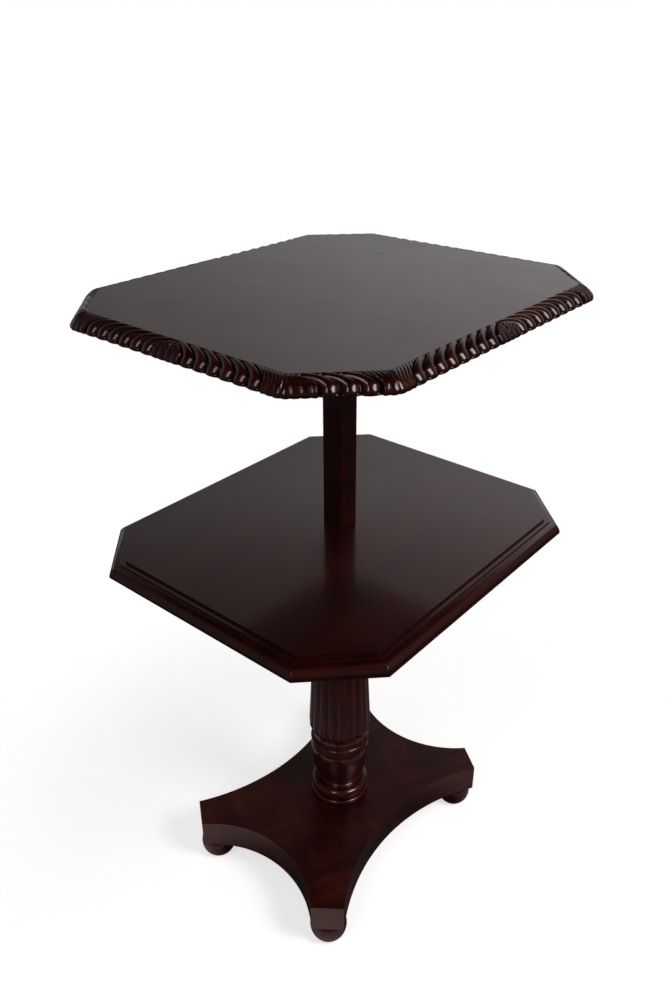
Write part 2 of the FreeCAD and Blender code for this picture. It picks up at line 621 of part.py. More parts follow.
def make_column_vase():
    """Vase turning: scotia, vase, astragal and cove, with a tenon below and a spigot above."""
    scotia = BASE_RING_TOP + VASE_FOOT_HEIGHT
    belly = VASE_BOWL_LEVEL + VASE_BOWL_HEIGHT
    shoulder = VASE_WIDEST_LEVEL + VASE_SHOULDER_HEIGHT
    cove = ASTRAGAL_LEVEL + ASTRAGAL_HEIGHT
    bead_in = ASTRAGAL_RADIUS - ASTRAGAL_HEIGHT / 2
    bottom = [rz(0, BASE_RING_TOP), rz(VASE_FOOT_RADIUS, BASE_RING_TOP), rz(VASE_FOOT_RADIUS, scotia)]
    fillet = [rz(VASE_SHOULDER_RADIUS, z) for z in (shoulder, ASTRAGAL_LEVEL)] + [rz(bead_in, ASTRAGAL_LEVEL)]
    top = [rz(bead_in, SHAFT_FOOT), rz(0, SHAFT_FOOT), rz(0, BASE_RING_TOP)]
    outline = lines(bottom)
    outline += [
        bowed(rz(VASE_FOOT_RADIUS, scotia), rz(VASE_FOOT_RADIUS, VASE_BOWL_LEVEL), -SCOTIA_DEPTH),
        bowed(rz(VASE_FOOT_RADIUS, VASE_BOWL_LEVEL), rz(VASE_BOWL_RADIUS, belly), VASE_BOWL_BOW),
        bowed(rz(VASE_BOWL_RADIUS, belly), rz(VASE_RADIUS, VASE_WIDEST_LEVEL), VASE_BELLY_BOW),
        bowed(rz(VASE_RADIUS, VASE_WIDEST_LEVEL), rz(VASE_SHOULDER_RADIUS, shoulder), VASE_SHOULDER_BOW),
    ]
    outline += lines(fillet)
    outline += [half_round(bead_in, ASTRAGAL_LEVEL, cove)]
    outline += [bowed(rz(bead_in, cove), rz(bead_in, SHAFT_FOOT), -COVE_DEPTH)]
    outline += lines(top)
    spigot = cylinder(VASE_SPIGOT_RADIUS, SHAFT_FOOT, SHAFT_FOOT + VASE_SPIGOT_HEIGHT)
    tenon = cylinder(VASE_TENON_RADIUS, FOOT_HEIGHT, BASE_RING_TOP)
    turning = turned(outline).fuse([spigot, tenon]).removeSplitter()
    bore = shoe_bore(BORE_FLOOR, SHAFT_FOOT + VASE_SPIGOT_HEIGHT)
    return turning.cut([bore, wedge(VASE_TENON_RADIUS)])


def make_column_base_ring():
    """Bead, quirk and torus, bored for the vase's tenon."""
    bead_top = PLATFORM_TOP + BASE_BEAD_HEIGHT
    torus_low = bead_top + BASE_QUIRK_HEIGHT
    bead_in = BASE_RING_RADIUS - BASE_BEAD_HEIGHT / 2
    torus_in = BASE_RING_RADIUS - BASE_TORUS_HEIGHT / 2
    bore = VASE_TENON_RADIUS + GLUE_GAP
    outline = [half_round(bead_in, PLATFORM_TOP, bead_top)]
    outline += lines([rz(bead_in, bead_top), rz(torus_in, torus_low)])
    outline += [half_round(torus_in, torus_low, BASE_RING_TOP)]
    inside = [rz(torus_in, BASE_RING_TOP), rz(bore, BASE_RING_TOP), rz(bore, PLATFORM_TOP)]
    return turned(outline + lines(inside + [rz(bead_in, PLATFORM_TOP)]))


# ---------------------------------------------------------------- base
def platform_outline():
    """Closed run of edges: four hollow sides between four flat arm ends."""
    a = PLATFORM_WIDTH / 2
    b = PLATFORM_LENGTH / 2
    end_x = a - ARM_CUT_X
    end_y = b - ARM_CUT_Y
    edges = []
    for side in (1, -1):
        long_middle = V(side * (a - LONG_SIDE_HOLLOW), 0, 0)
        short_middle = V(0, side * (b - SHORT_SIDE_HOLLOW), 0)
        corners = [
            V(side * a, -side * end_y, 0),
            V(side * a, side * end_y, 0),
            V(side * end_x, side * b, 0),
            V(-side * end_x, side * b, 0),
            V(-side * a, side * end_y, 0),
        ]
        edges += [arc(corners[0], long_middle, corners[1])] + lines(corners[1:3])
        edges += [arc(corners[2], short_middle, corners[3])] + lines(corners[3:5])
    return edges


def make_platform():
    """Platform with four hollow sides and flat-ended arms."""
    slab = face(platform_outline()).extrude(UP * PLATFORM_THICKNESS)
    slab.translate(UP * FOOT_HEIGHT)
    rim = [edge for edge in slab.Edges if edge.BoundBox.ZMin > PLATFORM_TOP - PLATFORM_ARRIS]
    slab = slab.makeFillet(PLATFORM_ARRIS, rim)
    socket_top = FOOT_HEIGHT + FOOT_SPIGOT_HEIGHT + GLUE_GAP
    sockets = [
        cylinder(FOOT_SPIGOT_RADIUS + GLUE_GAP, FOOT_HEIGHT, socket_top, x, y)
        for x, y in foot_places().values()
    ]
    return slab.cut(sockets + [cylinder(VASE_TENON_RADIUS + GLUE_GAP, FOOT_HEIGHT, PLATFORM_TOP)])


def wedge(reach):
    """Wedge across the tenon's lower end, cut to a cylinder of the given radius."""
    low = FOOT_HEIGHT
    high = FOOT_HEIGHT + WEDGE_LENGTH
    thick = WEDGE_THICK_END / 2
    thin = WEDGE_THIN_END / 2
    corners = [V(-thick, -reach, low), V(thick, -reach, low), V(thin, -reach, high), V(-thin, -reach, high)]
    body = face(lines(corners + corners[:1])).extrude(V(0, 2 * reach, 0))
    return body.common(cylinder(reach, low, high))


def foot_places():
    """Each foot's (x, y), back from the middle of its arm's flat end."""
    end_length = math.hypot(ARM_CUT_X, ARM_CUT_Y)
    x = PLATFORM_WIDTH / 2 - ARM_CUT_X / 2 - FOOT_INSET * ARM_CUT_Y / end_length
    y = PLATFORM_LENGTH / 2 - ARM_CUT_Y / 2 - FOOT_INSET * ARM_CUT_X / end_length
    return {"front_right": (x, -y), "back_right": (x, y), "back_left": (-x, y), "front_left": (-x, -y)}


def make_bun_foot():
    """Turned bun foot with its spigot, on the origin's axis."""
    # A plain arc would turn into a torus that crosses its own axis, so the bulge is the same arc as a spline.
    bulge = Part.Arc(rz(FOOT_BASE_RADIUS, 0), rz(FOOT_RADIUS, FOOT_WAIST), rz(FOOT_NECK_RADIUS, FOOT_HEIGHT))
    top = FOOT_HEIGHT + FOOT_SPIGOT_HEIGHT
    spigot = [rz(FOOT_SPIGOT_RADIUS, FOOT_HEIGHT), rz(FOOT_SPIGOT_RADIUS, top), rz(0, top)]
    rest = [rz(FOOT_NECK_RADIUS, FOOT_HEIGHT)] + spigot + [rz(0, 0), rz(FOOT_BASE_RADIUS, 0)]
    return turned([bulge.toBSpline().toShape()] + lines(rest))


# ---------------------------------------------------------------- build
def main():
    """Write every node of the table."""
    os.makedirs("parts", exist_ok=True)
    save("top_board", make_top_board())
    for name, moulding in make_gadroons().items():
        save(name, moulding)
    save("post", make_post())
    save("post_plate", make_post_plate())
    save("plate_board_screws", group(plate_board_screws()))
    save("plate_post_screws", group(plate_post_screws()))
    save("post_shoe", make_post_shoe())
    save("shoe_screw", shoe_screw())
    save("spring_catch", make_spring_catch())
    save("catch_screws", group(catch_screws()))
    save("lower_board", make_lower_board())
    save("bearer_block", make_bearer_block())
    save("bearer_screws", group(bearer_screws()))
    save("column_shaft", make_column_shaft())
    save("column_vase", make_column_vase())
    save("column_base_ring", make_column_base_ring())
    save("platform", make_platform())
    save("tenon_wedge", wedge(VASE_TENON_RADIUS))
    foot = make_bun_foot()
    for corner, (x, y) in foot_places().items():
        placed = foot.copy()
        placed.translate(V(x, y, 0))
        save("bun_foot_" + corner, placed)


main()
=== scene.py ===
"""Carved, turned and polished looks for a rise-and-fall tiered table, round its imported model.

Sizes in the classes are millimetres; meshes are metres. +Z is up, the origin is on the floor under
the pedestal's axis, and X is the table's short way.
"""

import logging
import math
from dataclasses import dataclass
from enum import Enum

import bmesh
import bpy
import numpy as np
from mathutils import Matrix, Vector, geometry


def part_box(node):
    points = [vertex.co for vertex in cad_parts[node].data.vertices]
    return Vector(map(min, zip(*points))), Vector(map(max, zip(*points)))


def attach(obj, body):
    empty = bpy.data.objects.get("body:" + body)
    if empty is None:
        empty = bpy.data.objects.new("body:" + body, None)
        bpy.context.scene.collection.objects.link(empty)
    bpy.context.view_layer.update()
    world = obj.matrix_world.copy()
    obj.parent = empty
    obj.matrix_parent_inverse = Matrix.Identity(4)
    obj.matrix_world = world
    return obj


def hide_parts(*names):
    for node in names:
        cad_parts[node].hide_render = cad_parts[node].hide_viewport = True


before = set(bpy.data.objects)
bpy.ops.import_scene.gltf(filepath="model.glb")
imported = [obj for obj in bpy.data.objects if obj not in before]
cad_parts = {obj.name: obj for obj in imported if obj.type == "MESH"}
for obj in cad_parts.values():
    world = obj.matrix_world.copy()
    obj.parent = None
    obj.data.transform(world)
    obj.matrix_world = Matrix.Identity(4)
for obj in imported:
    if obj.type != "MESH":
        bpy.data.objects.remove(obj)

LOG = logging.getLogger("tiered_table")
MM = 0.001
FULL_TURN = 2 * math.pi
HALF_CORNER = math.pi / 8        # a tier's corner turns by 45 degrees, and each side takes half of it
WELD = 0.002                     # points closer than this are one, in millimetres
RING_WELD = 0.01
Colour = tuple[float, float, float]
Span = tuple[float, float]
Point2 = tuple[float, float]
Point3 = tuple[float, float, float]


# ------------------------------------------------------------------ node arithmetic
class Sock:
    """A node's output that takes part in Python arithmetic."""

    def __init__(self, graph: "Graph", socket: bpy.types.NodeSocket) -> None:
        """Keep the graph that the socket belongs to."""
        self.graph = graph
        self.socket = socket

    def __add__(self, other: "Value") -> "Sock":
        """self + other."""
        return self.graph.math("ADD", self, other)

    def __radd__(self, other: "Value") -> "Sock":
        """other + self."""
        return self.graph.math("ADD", other, self)

    def __sub__(self, other: "Value") -> "Sock":
        """self - other."""
        return self.graph.math("SUBTRACT", self, other)

    def __rsub__(self, other: "Value") -> "Sock":
        """other - self."""
        return self.graph.math("SUBTRACT", other, self)

    def __mul__(self, other: "Value") -> "Sock":
        """self * other."""
        return self.graph.math("MULTIPLY", self, other)

    def __rmul__(self, other: "Value") -> "Sock":
        """other * self."""
        return self.graph.math("MULTIPLY", other, self)

    def __truediv__(self, other: "Value") -> "Sock":
        """self / other."""
        return self.graph.math("DIVIDE", self, other)

    def __pow__(self, other: "Value") -> "Sock":
        """self ** other, for a self that isn't negative."""
        return self.graph.math("POWER", self, other)

    def __abs__(self) -> "Sock":
        """Size without sign."""
        return self.graph.math("ABSOLUTE", self)

    def over(self, other: "Value") -> "Sock":
        """1 where self is greater than other, and 0 elsewhere."""
        return self.graph.math("GREATER_THAN", self, other)

    def at_least(self, other: "Value") -> "Sock":
        """The greater of the two."""
        return self.graph.math("MAXIMUM", self, other)

    def at_most(self, other: "Value") -> "Sock":
        """The lesser of the two."""
        return self.graph.math("MINIMUM", self, other)

    def fraction(self) -> "Sock":
        """What is left past the whole number below."""
        return self.graph.math("FRACT", self)

    def beside(self, output: str | int) -> "Sock":
        """Another output of the same node."""
        return Sock(self.graph, self.socket.node.outputs[output])

    def eased(self, low: float, high: float) -> "Sock":
        """0 at low, 1 at high and an eased slope between."""
        inputs = {"Value": self, "From Min": low, "From Max": high}
        return self.graph.add("ShaderNodeMapRange", {"interpolation_type": "SMOOTHSTEP"}, inputs)

    def between(self, start: "Value", end: "Value") -> "Sock":
        """start where self is 0, end where self is 1."""
        return start + (end - start) * self if isinstance(start, Sock) else self * (end - start) + start


Value = Sock | float


class Graph:
    """Adds nodes to one shader or geometry tree."""

    def __init__(self, tree: bpy.types.NodeTree) -> None:
        """Start from an empty tree."""
        tree.nodes.clear()
        self.tree = tree

    def add(
        self, kind: str, settings: dict | None = None, inputs: dict | None = None, output: str | int = 0
    ) -> Sock:
        """Add one node.

        Args:
            kind: the node's type.
            settings: its properties, which are set first.
            inputs: values or links by socket name or number.
            output: the output that is wanted.

        Returns:
            That output, or the first input of a node that has no output.
        """
        node = self.tree.nodes.new(kind)
        for key, value in (settings or {}).items():
            setattr(node, key, value)
        for key, value in (inputs or {}).items():
            self.feed(node.inputs[key], value)
        return Sock(self, node.outputs[output] if len(node.outputs) else node.inputs[0])

    def feed(self, socket: bpy.types.NodeSocket, value: object) -> None:
        """Link a socket to another, or set its value.

        Args:
            socket: the input.
            value: an output, or what the input is to hold. A colour may come without its alpha.
        """
        if isinstance(value, Sock):
            self.tree.links.new(value.socket, socket)
        elif socket.type == "RGBA" and len(value) == 3:
            socket.default_value = (*value, 1.0)
        else:
            socket.default_value = value

    def math(self, operation: str, *values: Value) -> Sock:
        """One Math node."""
        return self.add("ShaderNodeMath", {"operation": operation}, dict(enumerate(values)))

    def vector(self, operation: str, first: Sock, second: object = None, output: str = "Vector") -> Sock:
        """One Vector Math node, on one vector or two."""
        inputs = {0: first} if second is None else {0: first, 1: second}
        return self.add("ShaderNodeVectorMath", {"operation": operation}, inputs, output)

    def mixed(self, share: Value, first: object, second: object) -> Sock:
        """Two colours mixed by a share, which is 0 for the first."""
        return self.add("ShaderNodeMix", {"data_type": "RGBA"}, {0: share, 6: first, 7: second}, 2)

    def bump(self, height: Sock, strength: float, distance: float) -> Sock:
        """Normal of a shallow relief, with its distance in metres."""
        inputs = {"Strength": strength, "Distance": distance, "Height": height}
        return self.add("ShaderNodeBump", None, inputs)

    def principled(self, inputs: dict[str, object]) -> None:
        """Close a material with one Principled surface."""
        surface = self.add("ShaderNodeBsdfPrincipled", None, inputs)
        self.add("ShaderNodeOutputMaterial", None, {"Surface": surface})


class GeometryGraph(Graph):
    """A geometry tree with named inputs, ready to be baked on to a mesh."""

    def __init__(self, name: str, inputs: dict[str, tuple[str, object]]) -> None:
        """Args:
            name: the tree's name.
            inputs: for each input's name, its socket type and its value.
        """
        super().__init__(bpy.data.node_groups.new(name, "GeometryNodeTree"))
        self.values = {key: value for key, (_, value) in inputs.items()}
        self.tree.interface.new_socket("Geometry", in_out="INPUT", socket_type="NodeSocketGeometry")
        self.tree.interface.new_socket("Geometry", in_out="OUTPUT", socket_type="NodeSocketGeometry")
        for key, (kind, _) in inputs.items():
            self.tree.interface.new_socket(key, in_out="INPUT", socket_type=kind)
        self.group_input = self.tree.nodes.new("NodeGroupInput")

    def given(self, name: str) -> Sock:
        """One of the tree's inputs."""
        return Sock(self, self.group_input.outputs[name])

    def stored(self, name: str, kind: str = "FLOAT") -> Sock:
        """What the mesh that goes in keeps under a name."""
        return self.add("GeometryNodeInputNamedAttribute", {"data_type": kind}, {"Name": name})

    def copies(self, points: Sock, turn: Sock) -> Sock:
        """Copies of the object Unit.

        Args:
            points: where they go.
            turn: each copy's turn about Z, in radians.

        Returns:
            The instances.
        """
        unit = self.add("GeometryNodeObjectInfo", None, {"Object": self.given("Unit")}, "Geometry")
        rotation = self.add("ShaderNodeCombineXYZ", None, {"Z": turn})
        inputs = {"Points": points, "Instance": unit, "Rotation": rotation}
        return self.add("GeometryNodeInstanceOnPoints", None, inputs)

    def end(self, result: Sock, material: bpy.types.Material) -> None:
        """Close the tree with Realize Instances and Set Material.

        Args:
            result: the geometry that goes out.
            material: what it is painted with.
        """
        real = self.add("GeometryNodeRealizeInstances", None, {0: result})
        painted = self.add("GeometryNodeSetMaterial", None, {"Geometry": real, "Material": material})
        self.add("NodeGroupOutput", None, {0: painted})

    def bake(self, name: str, base: bpy.types.Mesh) -> bpy.types.Object:
        """Run the tree on a mesh and keep its result.

        Args:
            name: the new object's name.
            base: the mesh that goes in.

        Returns:
            An object with a plain mesh and no modifier.
        """
        carrier = new_object(name + "_base", base)
        modifier = carrier.modifiers.new("Build", "NODES")
        modifier.node_group = self.tree
        for item in self.tree.interface.items_tree:
            if item.in_out == "INPUT" and item.name in self.values:
                modifier[item.identifier] = self.values[item.name]
        return flattened(carrier, name)


# ------------------------------------------------------------------ mesh helpers
def new_object(name: str, data: bpy.types.ID) -> bpy.types.Object:
    """Put a mesh, a camera or a lamp into the scene.

    Args:
        name: the object's name.
        data: what it holds.

    Returns:
        The object.
    """
    thing = bpy.data.objects.new(name, data)
    bpy.context.scene.collection.objects.link(thing)
    return thing


def flattened(carrier: bpy.types.Object, name: str) -> bpy.types.Object:
    """Replace an object with live modifiers by a plain one that has their result.

    Args:
        carrier: the object with the modifiers.
        name: the new object's name.

    Returns:
        The plain object.
    """
    depsgraph = bpy.context.evaluated_depsgraph_get()
    evaluated = carrier.evaluated_get(depsgraph)
    mesh = bpy.data.meshes.new_from_object(evaluated, preserve_all_data_layers=True, depsgraph=depsgraph)
    mesh.name = name
    bpy.data.objects.remove(carrier)
    return new_object(name, mesh)


def raw_mesh(name: str, points: object, faces: list) -> bpy.types.Mesh:
    """Mesh from points in millimetres, just as they come.

    Args:
        name: the mesh's name.
        points: rows of x, y and z.
        faces: each face's point numbers.

    Returns:
        The mesh.
    """
    mesh = bpy.data.meshes.new(name)
    mesh.from_pydata((np.asarray(points, float).reshape(-1, 3) * MM).tolist(), [], faces)
    return mesh


def solid_mesh(name: str, points: object, faces: list, sharp: float = 35.0) -> bpy.types.Mesh:
    """Closed mesh from points in millimetres.

    Args:
        name: the mesh's name.
        points: rows of x, y and z.
        faces: each face's point numbers.
        sharp: edges that turn more than this many degrees are left sharp.

    Returns:
        The mesh, merged, with its faces pointing outwards.
    """
    mesh = raw_mesh(name, points, faces)
    work = bmesh.new()
    work.from_mesh(mesh)
    bmesh.ops.remove_doubles(work, verts=work.verts, dist=WELD * MM)
    bmesh.ops.recalc_face_normals(work, faces=work.faces)
    work.to_mesh(mesh)
    work.free()
    smooth_by_angle(mesh, sharp)
    return mesh


def smooth_by_angle(mesh: bpy.types.Mesh, sharp: float) -> None:
    """Shade a mesh smooth but for edges that turn more than an angle in degrees."""
    mesh.shade_smooth()
    mesh.set_sharp_from_angle(angle=math.radians(sharp))


def store(mesh: bpy.types.Mesh, name: str, values: object, kind: str = "FLOAT") -> None:
    """Keep a number or a vector at each point of a mesh.

    Args:
        mesh: the mesh.
        name: the attribute's name.
        values: the numbers, in the points' order.
        kind: FLOAT or FLOAT_VECTOR.
    """
    field = mesh.attributes.new(name, kind, "POINT")
    flat = np.ascontiguousarray(values, np.float32).ravel()
    field.data.foreach_set("value" if kind == "FLOAT" else "vector", flat)


def grid_faces(rows: int, columns: int, closed_rows: bool = False, closed_columns: bool = False) -> list:
    """Quads over a grid of points that is stored row by row.

    Args:
        rows: number of rows.
        columns: number of columns.
        closed_rows: whether the last row joins the first.
        closed_columns: whether the last column joins the first.

    Returns:
        Each quad's point numbers.
    """
    row_pairs = [(i, (i + 1) % rows) for i in range(rows if closed_rows else rows - 1)]
    column_pairs = [(j, (j + 1) % columns) for j in range(columns if closed_columns else columns - 1)]
    return [
        (a * columns + c, a * columns + d, b * columns + d, b * columns + c)
        for a, b in row_pairs for c, d in column_pairs
    ]


def bowed(start: Point2, end: Point2, bow: float, steps: int) -> list[Point2]:
    """Points on a circular arc, from its start up to but without its end.

    Args:
        start: radius and height, or x and y.
        end: radius and height, or x and y.
        bow: how far it swells outwards from its chord, or is hollowed where negative.
        steps: number of points.

    Returns:
        The points.
    """
    chord = Vector(end) - Vector(start)
    outward = Vector((chord.y, -chord.x)).normalized()
    if bow < 0:
        outward = -outward
    rise = abs(bow)
    radius = (chord.length_squared / 4 + rise * rise) / (2 * rise)
    centre = (Vector(start) + Vector(end)) / 2 - outward * (radius - rise)
    half = math.atan2(chord.length / 2, radius - rise)
    along = chord.normalized()
    angles = [half * (2 * i / steps - 1) for i in range(steps)]
    return [tuple(centre + outward * (radius * math.cos(t)) + along * (radius * math.sin(t))) for t in angles]


def arc_through(start: Point2, middle: Point2, end: Point2, count: int) -> list[Point2]:
    """Points on the circular arc through three points.

    Args:
        start: where it starts.
        middle: a point on its way.
        end: where it ends.
        count: number of points, with both ends.

    Returns:
        The points.
    """
    a, b, c = (Vector(point) for point in (start, middle, end))
    squares = [(p.length_squared - a.length_squared) / 2 for p in (b, c)]
    centre = Matrix((b - a, c - a)).inverted() @ Vector(squares)
    first, halfway, last = (math.atan2(p.y - centre.y, p.x - centre.x) for p in (a, b, c))
    first = halfway + math.remainder(first - halfway, FULL_TURN)
    last = halfway + math.remainder(last - halfway, FULL_TURN)
    radius = (a - centre).length
    angles = np.linspace(first, last, count)
    return [(centre.x + radius * math.cos(t), centre.y + radius * math.sin(t)) for t in angles]


def turned_profile(rows: tuple[tuple[float, ...], ...]) -> list[Point2]:
    """Points of a turned piece's profile.

    Args:
        rows: radius and height of each corner, and where the way to the next one is round, its bow
            and its number of points.

    Returns:
        The points as (radius, height).
    """
    points: list[Point2] = []
    for corner, following in zip(rows, rows[1:] + rows[:1]):
        start, end = corner[:2], following[:2]
        points += bowed(start, end, corner[2], int(corner[3])) if len(corner) > 2 else [start]
    return points


def lathe(name: str, profile: list[Point2], segments: int = 144) -> bpy.types.Mesh:
    """Mesh turned round the Z axis.

    Args:
        name: the mesh's name.
        profile: points as (radius, height). It starts and ends on the axis, or closes on itself.
        segments: points round the axis.

    Returns:
        The closed mesh.
    """
    closed = profile[0][0] > 0
    turns = np.arange(segments) * (FULL_TURN / segments)
    points = [(r * math.cos(t), r * math.sin(t), z) for r, z in profile for t in turns]
    return solid_mesh(name, points, grid_faces(len(profile), segments, closed, True))


def prism(name: str, rings: list[list[Point3]], hole: list[Point2], sharp: float) -> bpy.types.Mesh:
    """Solid between stacked rings of equal count.

    Args:
        name: the mesh's name.
        rings: each ring's points, lowest ring first.
        hole: corners of an upright hole through it, or none.
        sharp: edges that turn more than this many degrees are left sharp.

    Returns:
        The closed mesh.
    """
    points = [p for ring in rings for p in ring]
    faces = grid_faces(len(rings), len(rings[0]), False, True)
    levels = rings[0][0][2], rings[-1][0][2]
    for ring, level in zip((rings[0], rings[-1]), levels):
        base = len(points)
        loops = [[Vector(p) for p in ring]] + ([[Vector((x, y, level)) for x, y in hole]] if hole else [])
        points += [tuple(p) for loop in loops for p in loop]
        faces += [tuple(base + i for i in triple) for triple in geometry.tessellate_polygon(loops)]
    base = len(points)
    points += [(x, y, level) for level in levels for x, y in hole]
    faces += [tuple(base + i for i in quad) for quad in grid_faces(2, len(hole), False, True)]
    return solid_mesh(name, points, faces, sharp)


def eased_edges(mesh: bpy.types.Mesh, width: float, segments: int, limit: float = 25.0) -> bpy.types.Object:
    """Object with its sharp edges rounded.

    Args:
        mesh: the mesh, whose name it takes.
        width: the rounding's width in millimetres.
        segments: steps across the rounding.
        limit: edges that turn more than this many degrees are rounded.

    Returns:
        The plain object.
    """
    name = mesh.name
    carrier = new_object(name + "_base", mesh)
    bevel = carrier.modifiers.new("Ease", "BEVEL")
    bevel.width = width * MM
    bevel.segments = segments
    bevel.limit_method = "ANGLE"
    bevel.angle_limit = math.radians(limit)
    bevel.harden_normals = True
    return flattened(carrier, name)


def octagon(width: float, length: float, cut: float, inset: float) -> list[Point2]:
    """Corners of a rectangle with its corners cut at 45 degrees.

    Args:
        width: along X.
        length: along Y.
        cut: what a cut takes off each side.
        inset: how far all sides are moved in.

    Returns:
        The eight corners, anticlockwise from above.
    """
    a, b = width / 2 - inset, length / 2 - inset
    c = cut - inset * (2 - math.sqrt(2))
    half = [(a, c - b), (a, b - c), (a - c, b), (c - a, b)]
    return half + [(-x, -y) for x, y in half]


def stacked(outline: list[Point2], levels: tuple[float, float]) -> list[list[Point3]]:
    """The same outline at two levels."""
    return [[(x, y, z) for x, y in outline] for z in levels]


# ------------------------------------------------------------------ finishes
class Grain(Enum):
    """Which way the wood's grain runs, as the turn that brings it on to X (degrees)."""

    LENGTHWAYS = (0.0, 0.0, -90.0)
    UPRIGHT = (0.0, 90.0, 0.0)
    DIAGONAL = (0.0, 0.0, -66.0)


@dataclass(frozen=True)
class Pattern:
    """Noise over a piece, with its scale along each axis and where it fades in."""

    scale: Point3
    detail: float = 2.0
    roughness: float = 0.5
    distortion: float = 0.0
    fade: Span | None = None

    def on(self, graph: Graph, place: Sock, shift: Sock | None = None) -> Sock:
        """Add the pattern to a material.

        Args:
            graph: the material's graph.
            place: the place on the piece.
            shift: what is added to the scaled place.

        Returns:
            Its value, around 0.5, or from 0 to 1 where it fades in.
        """
        spot = graph.vector("MULTIPLY", place, self.scale)
        if shift is not None:
            spot = graph.vector("ADD", spot, shift)
        noise = graph.add("ShaderNodeTexNoise", None, {
            "Vector": spot, "Scale": 1.0, "Detail": self.detail, "Roughness": self.roughness,
            "Distortion": self.distortion,
        })
        return noise.eased(*self.fade) if self.fade else noise


def start_material(name: str) -> tuple[bpy.types.Material, Graph, Sock]:
    """Make an empty material.

    Args:
        name: the material's name.

    Returns:
        The material, its graph, and the place on the piece in Object coordinates.
    """
    paint = bpy.data.materials.new(name)
    paint.use_nodes = True
    graph = Graph(paint.node_tree)
    return paint, graph, graph.add("ShaderNodeTexCoord", None, None, "Object")


@dataclass(frozen=True)
class PolishedMahogany:
    """Dark French-polished mahogany with streaks, a mottle and fine pores, and painted shade in carved
    hollows where it is asked for.
    """

    name: str
    grain: Grain
    dark: Colour = (0.0085, 0.0006, 0.0005)
    middle: Colour = (0.0210, 0.0014, 0.0010)
    light: Colour = (0.0850, 0.0110, 0.0055)
    streak_width: float = 26.0
    streak_stretch: float = 0.075
    streak_sway: float = 1.6
    sway: Pattern = Pattern((3.0, 9.0, 9.0))
    mottle: Pattern = Pattern((14.0, 7.0, 9.0), 3.0, 0.55, 0.6, (0.36, 0.70))
    pores: Pattern = Pattern((70.0, 1500.0, 1500.0), 2.0, 0.6, 0.0, (0.56, 0.70))
    swell: Pattern = Pattern((26.0, 26.0, 26.0), 2.0, 0.45)
    figure: float = 0.5
    pore_shade: float = 0.30
    pore_roughness: float = 0.08
    mottle_roughness: float = 0.05
    refraction: float = 1.5
    sheen_roughness: float = 0.34
    sheen_tint: tuple[float, ...] = (1.0, 0.22, 0.17, 1.0)
    inner_gloss: float = 0.5
    gloss_roughness: float = 0.13
    polish: float = 1.0
    ripple: float = 0.10
    ripple_height: float = 0.0012
    # Painted shade in carved hollows, and rougher, duller polish there:
    hollow_painted_shade: float = 0.0
    painted_shade_fade: Span = (0.12, 0.60)
    painted_shade_darkness: float = 0.25
    hollow_roughness: float = 0.25
    hollow_dulling: float = 0.6

    def material(self) -> bpy.types.Material:
        """Build the shader.

        Returns:
            The material.
        """
        paint, g, place = start_material(self.name)
        turn = tuple(math.radians(a) for a in self.grain.value)
        wood = g.add("ShaderNodeMapping", None, {"Vector": place, "Rotation": turn})
        sway = self.sway.on(g, wood) * self.streak_sway
        shift = g.add("ShaderNodeCombineXYZ", None, {"Y": sway, "Z": sway})
        across = 1 / (self.streak_width * MM)
        lines = Pattern((across * self.streak_stretch, across, across), 5.0, 0.60, 0.0, (0.28, 0.72))
        streaks = lines.on(g, wood, shift)
        mottle = self.mottle.on(g, wood)
        pores = self.pores.on(g, wood)
        colour = g.mixed(streaks, self.dark, self.middle)
        colour = g.mixed(mottle * streaks * self.figure, colour, self.light)
        colour = g.mixed(pores * self.pore_shade, colour, self.dark)
        rough = self.sheen_roughness + pores * self.pore_roughness + mottle * self.mottle_roughness
        polish: Value = self.polish
        # Painted shade: the carving's hollows are mixed towards a near-black red by their stored depth, and
        # the same share makes their polish rougher and duller.
        if self.hollow_painted_shade > 0:
            hollow = g.add("ShaderNodeAttribute", {"attribute_name": "hollow"}, None, "Fac")
            painted_shade = hollow.eased(*self.painted_shade_fade) * self.hollow_painted_shade
            colour = g.mixed(painted_shade, colour, tuple(c * self.painted_shade_darkness for c in self.dark))
            rough = rough + painted_shade * self.hollow_roughness
            polish = self.polish - painted_shade * self.hollow_dulling
        g.principled({
            "Base Color": colour, "Roughness": rough,
            "Normal": g.bump(self.swell.on(g, place), self.ripple, self.ripple_height),
            "IOR": self.refraction, "Specular IOR Level": self.inner_gloss, "Specular Tint": self.sheen_tint,
            "Coat Weight": polish, "Coat Roughness": self.gloss_roughness, "Coat IOR": self.refraction,
        })
        return paint


@dataclass(frozen=True)
class PlainBeech:
    """Unpolished beech of the hidden blocks, browned with age."""

    name: str = "plain_beech"
    light: Colour = (0.30, 0.175, 0.090)
    dark: Colour = (0.19, 0.100, 0.048)
    streaks: Pattern = Pattern((120.0, 8.0, 120.0), 4.0, 0.6, 0.0, (0.3, 0.7))
    flecks: Pattern = Pattern((900.0, 110.0, 900.0), 1.0, fade=(0.60, 0.70))
    fleck_shade: float = 0.6
    fleck_roughness: float = 0.1
    roughness: float = 0.62
    relief: float = 0.25
    relief_height: float = 0.0003

    def material(self) -> bpy.types.Material:
        """Build the shader.

        Returns:
            The material.
        """
        paint, g, place = start_material(self.name)
        streaks, flecks = self.streaks.on(g, place), self.flecks.on(g, place)
        wood = g.mixed(streaks, self.dark, self.light)
        g.principled({
            "Base Color": g.mixed(flecks * self.fleck_shade, wood, self.dark),
            "Roughness": self.roughness + flecks * self.fleck_roughness,
            "Normal": g.bump(streaks, self.relief, self.relief_height),
        })
        return paint


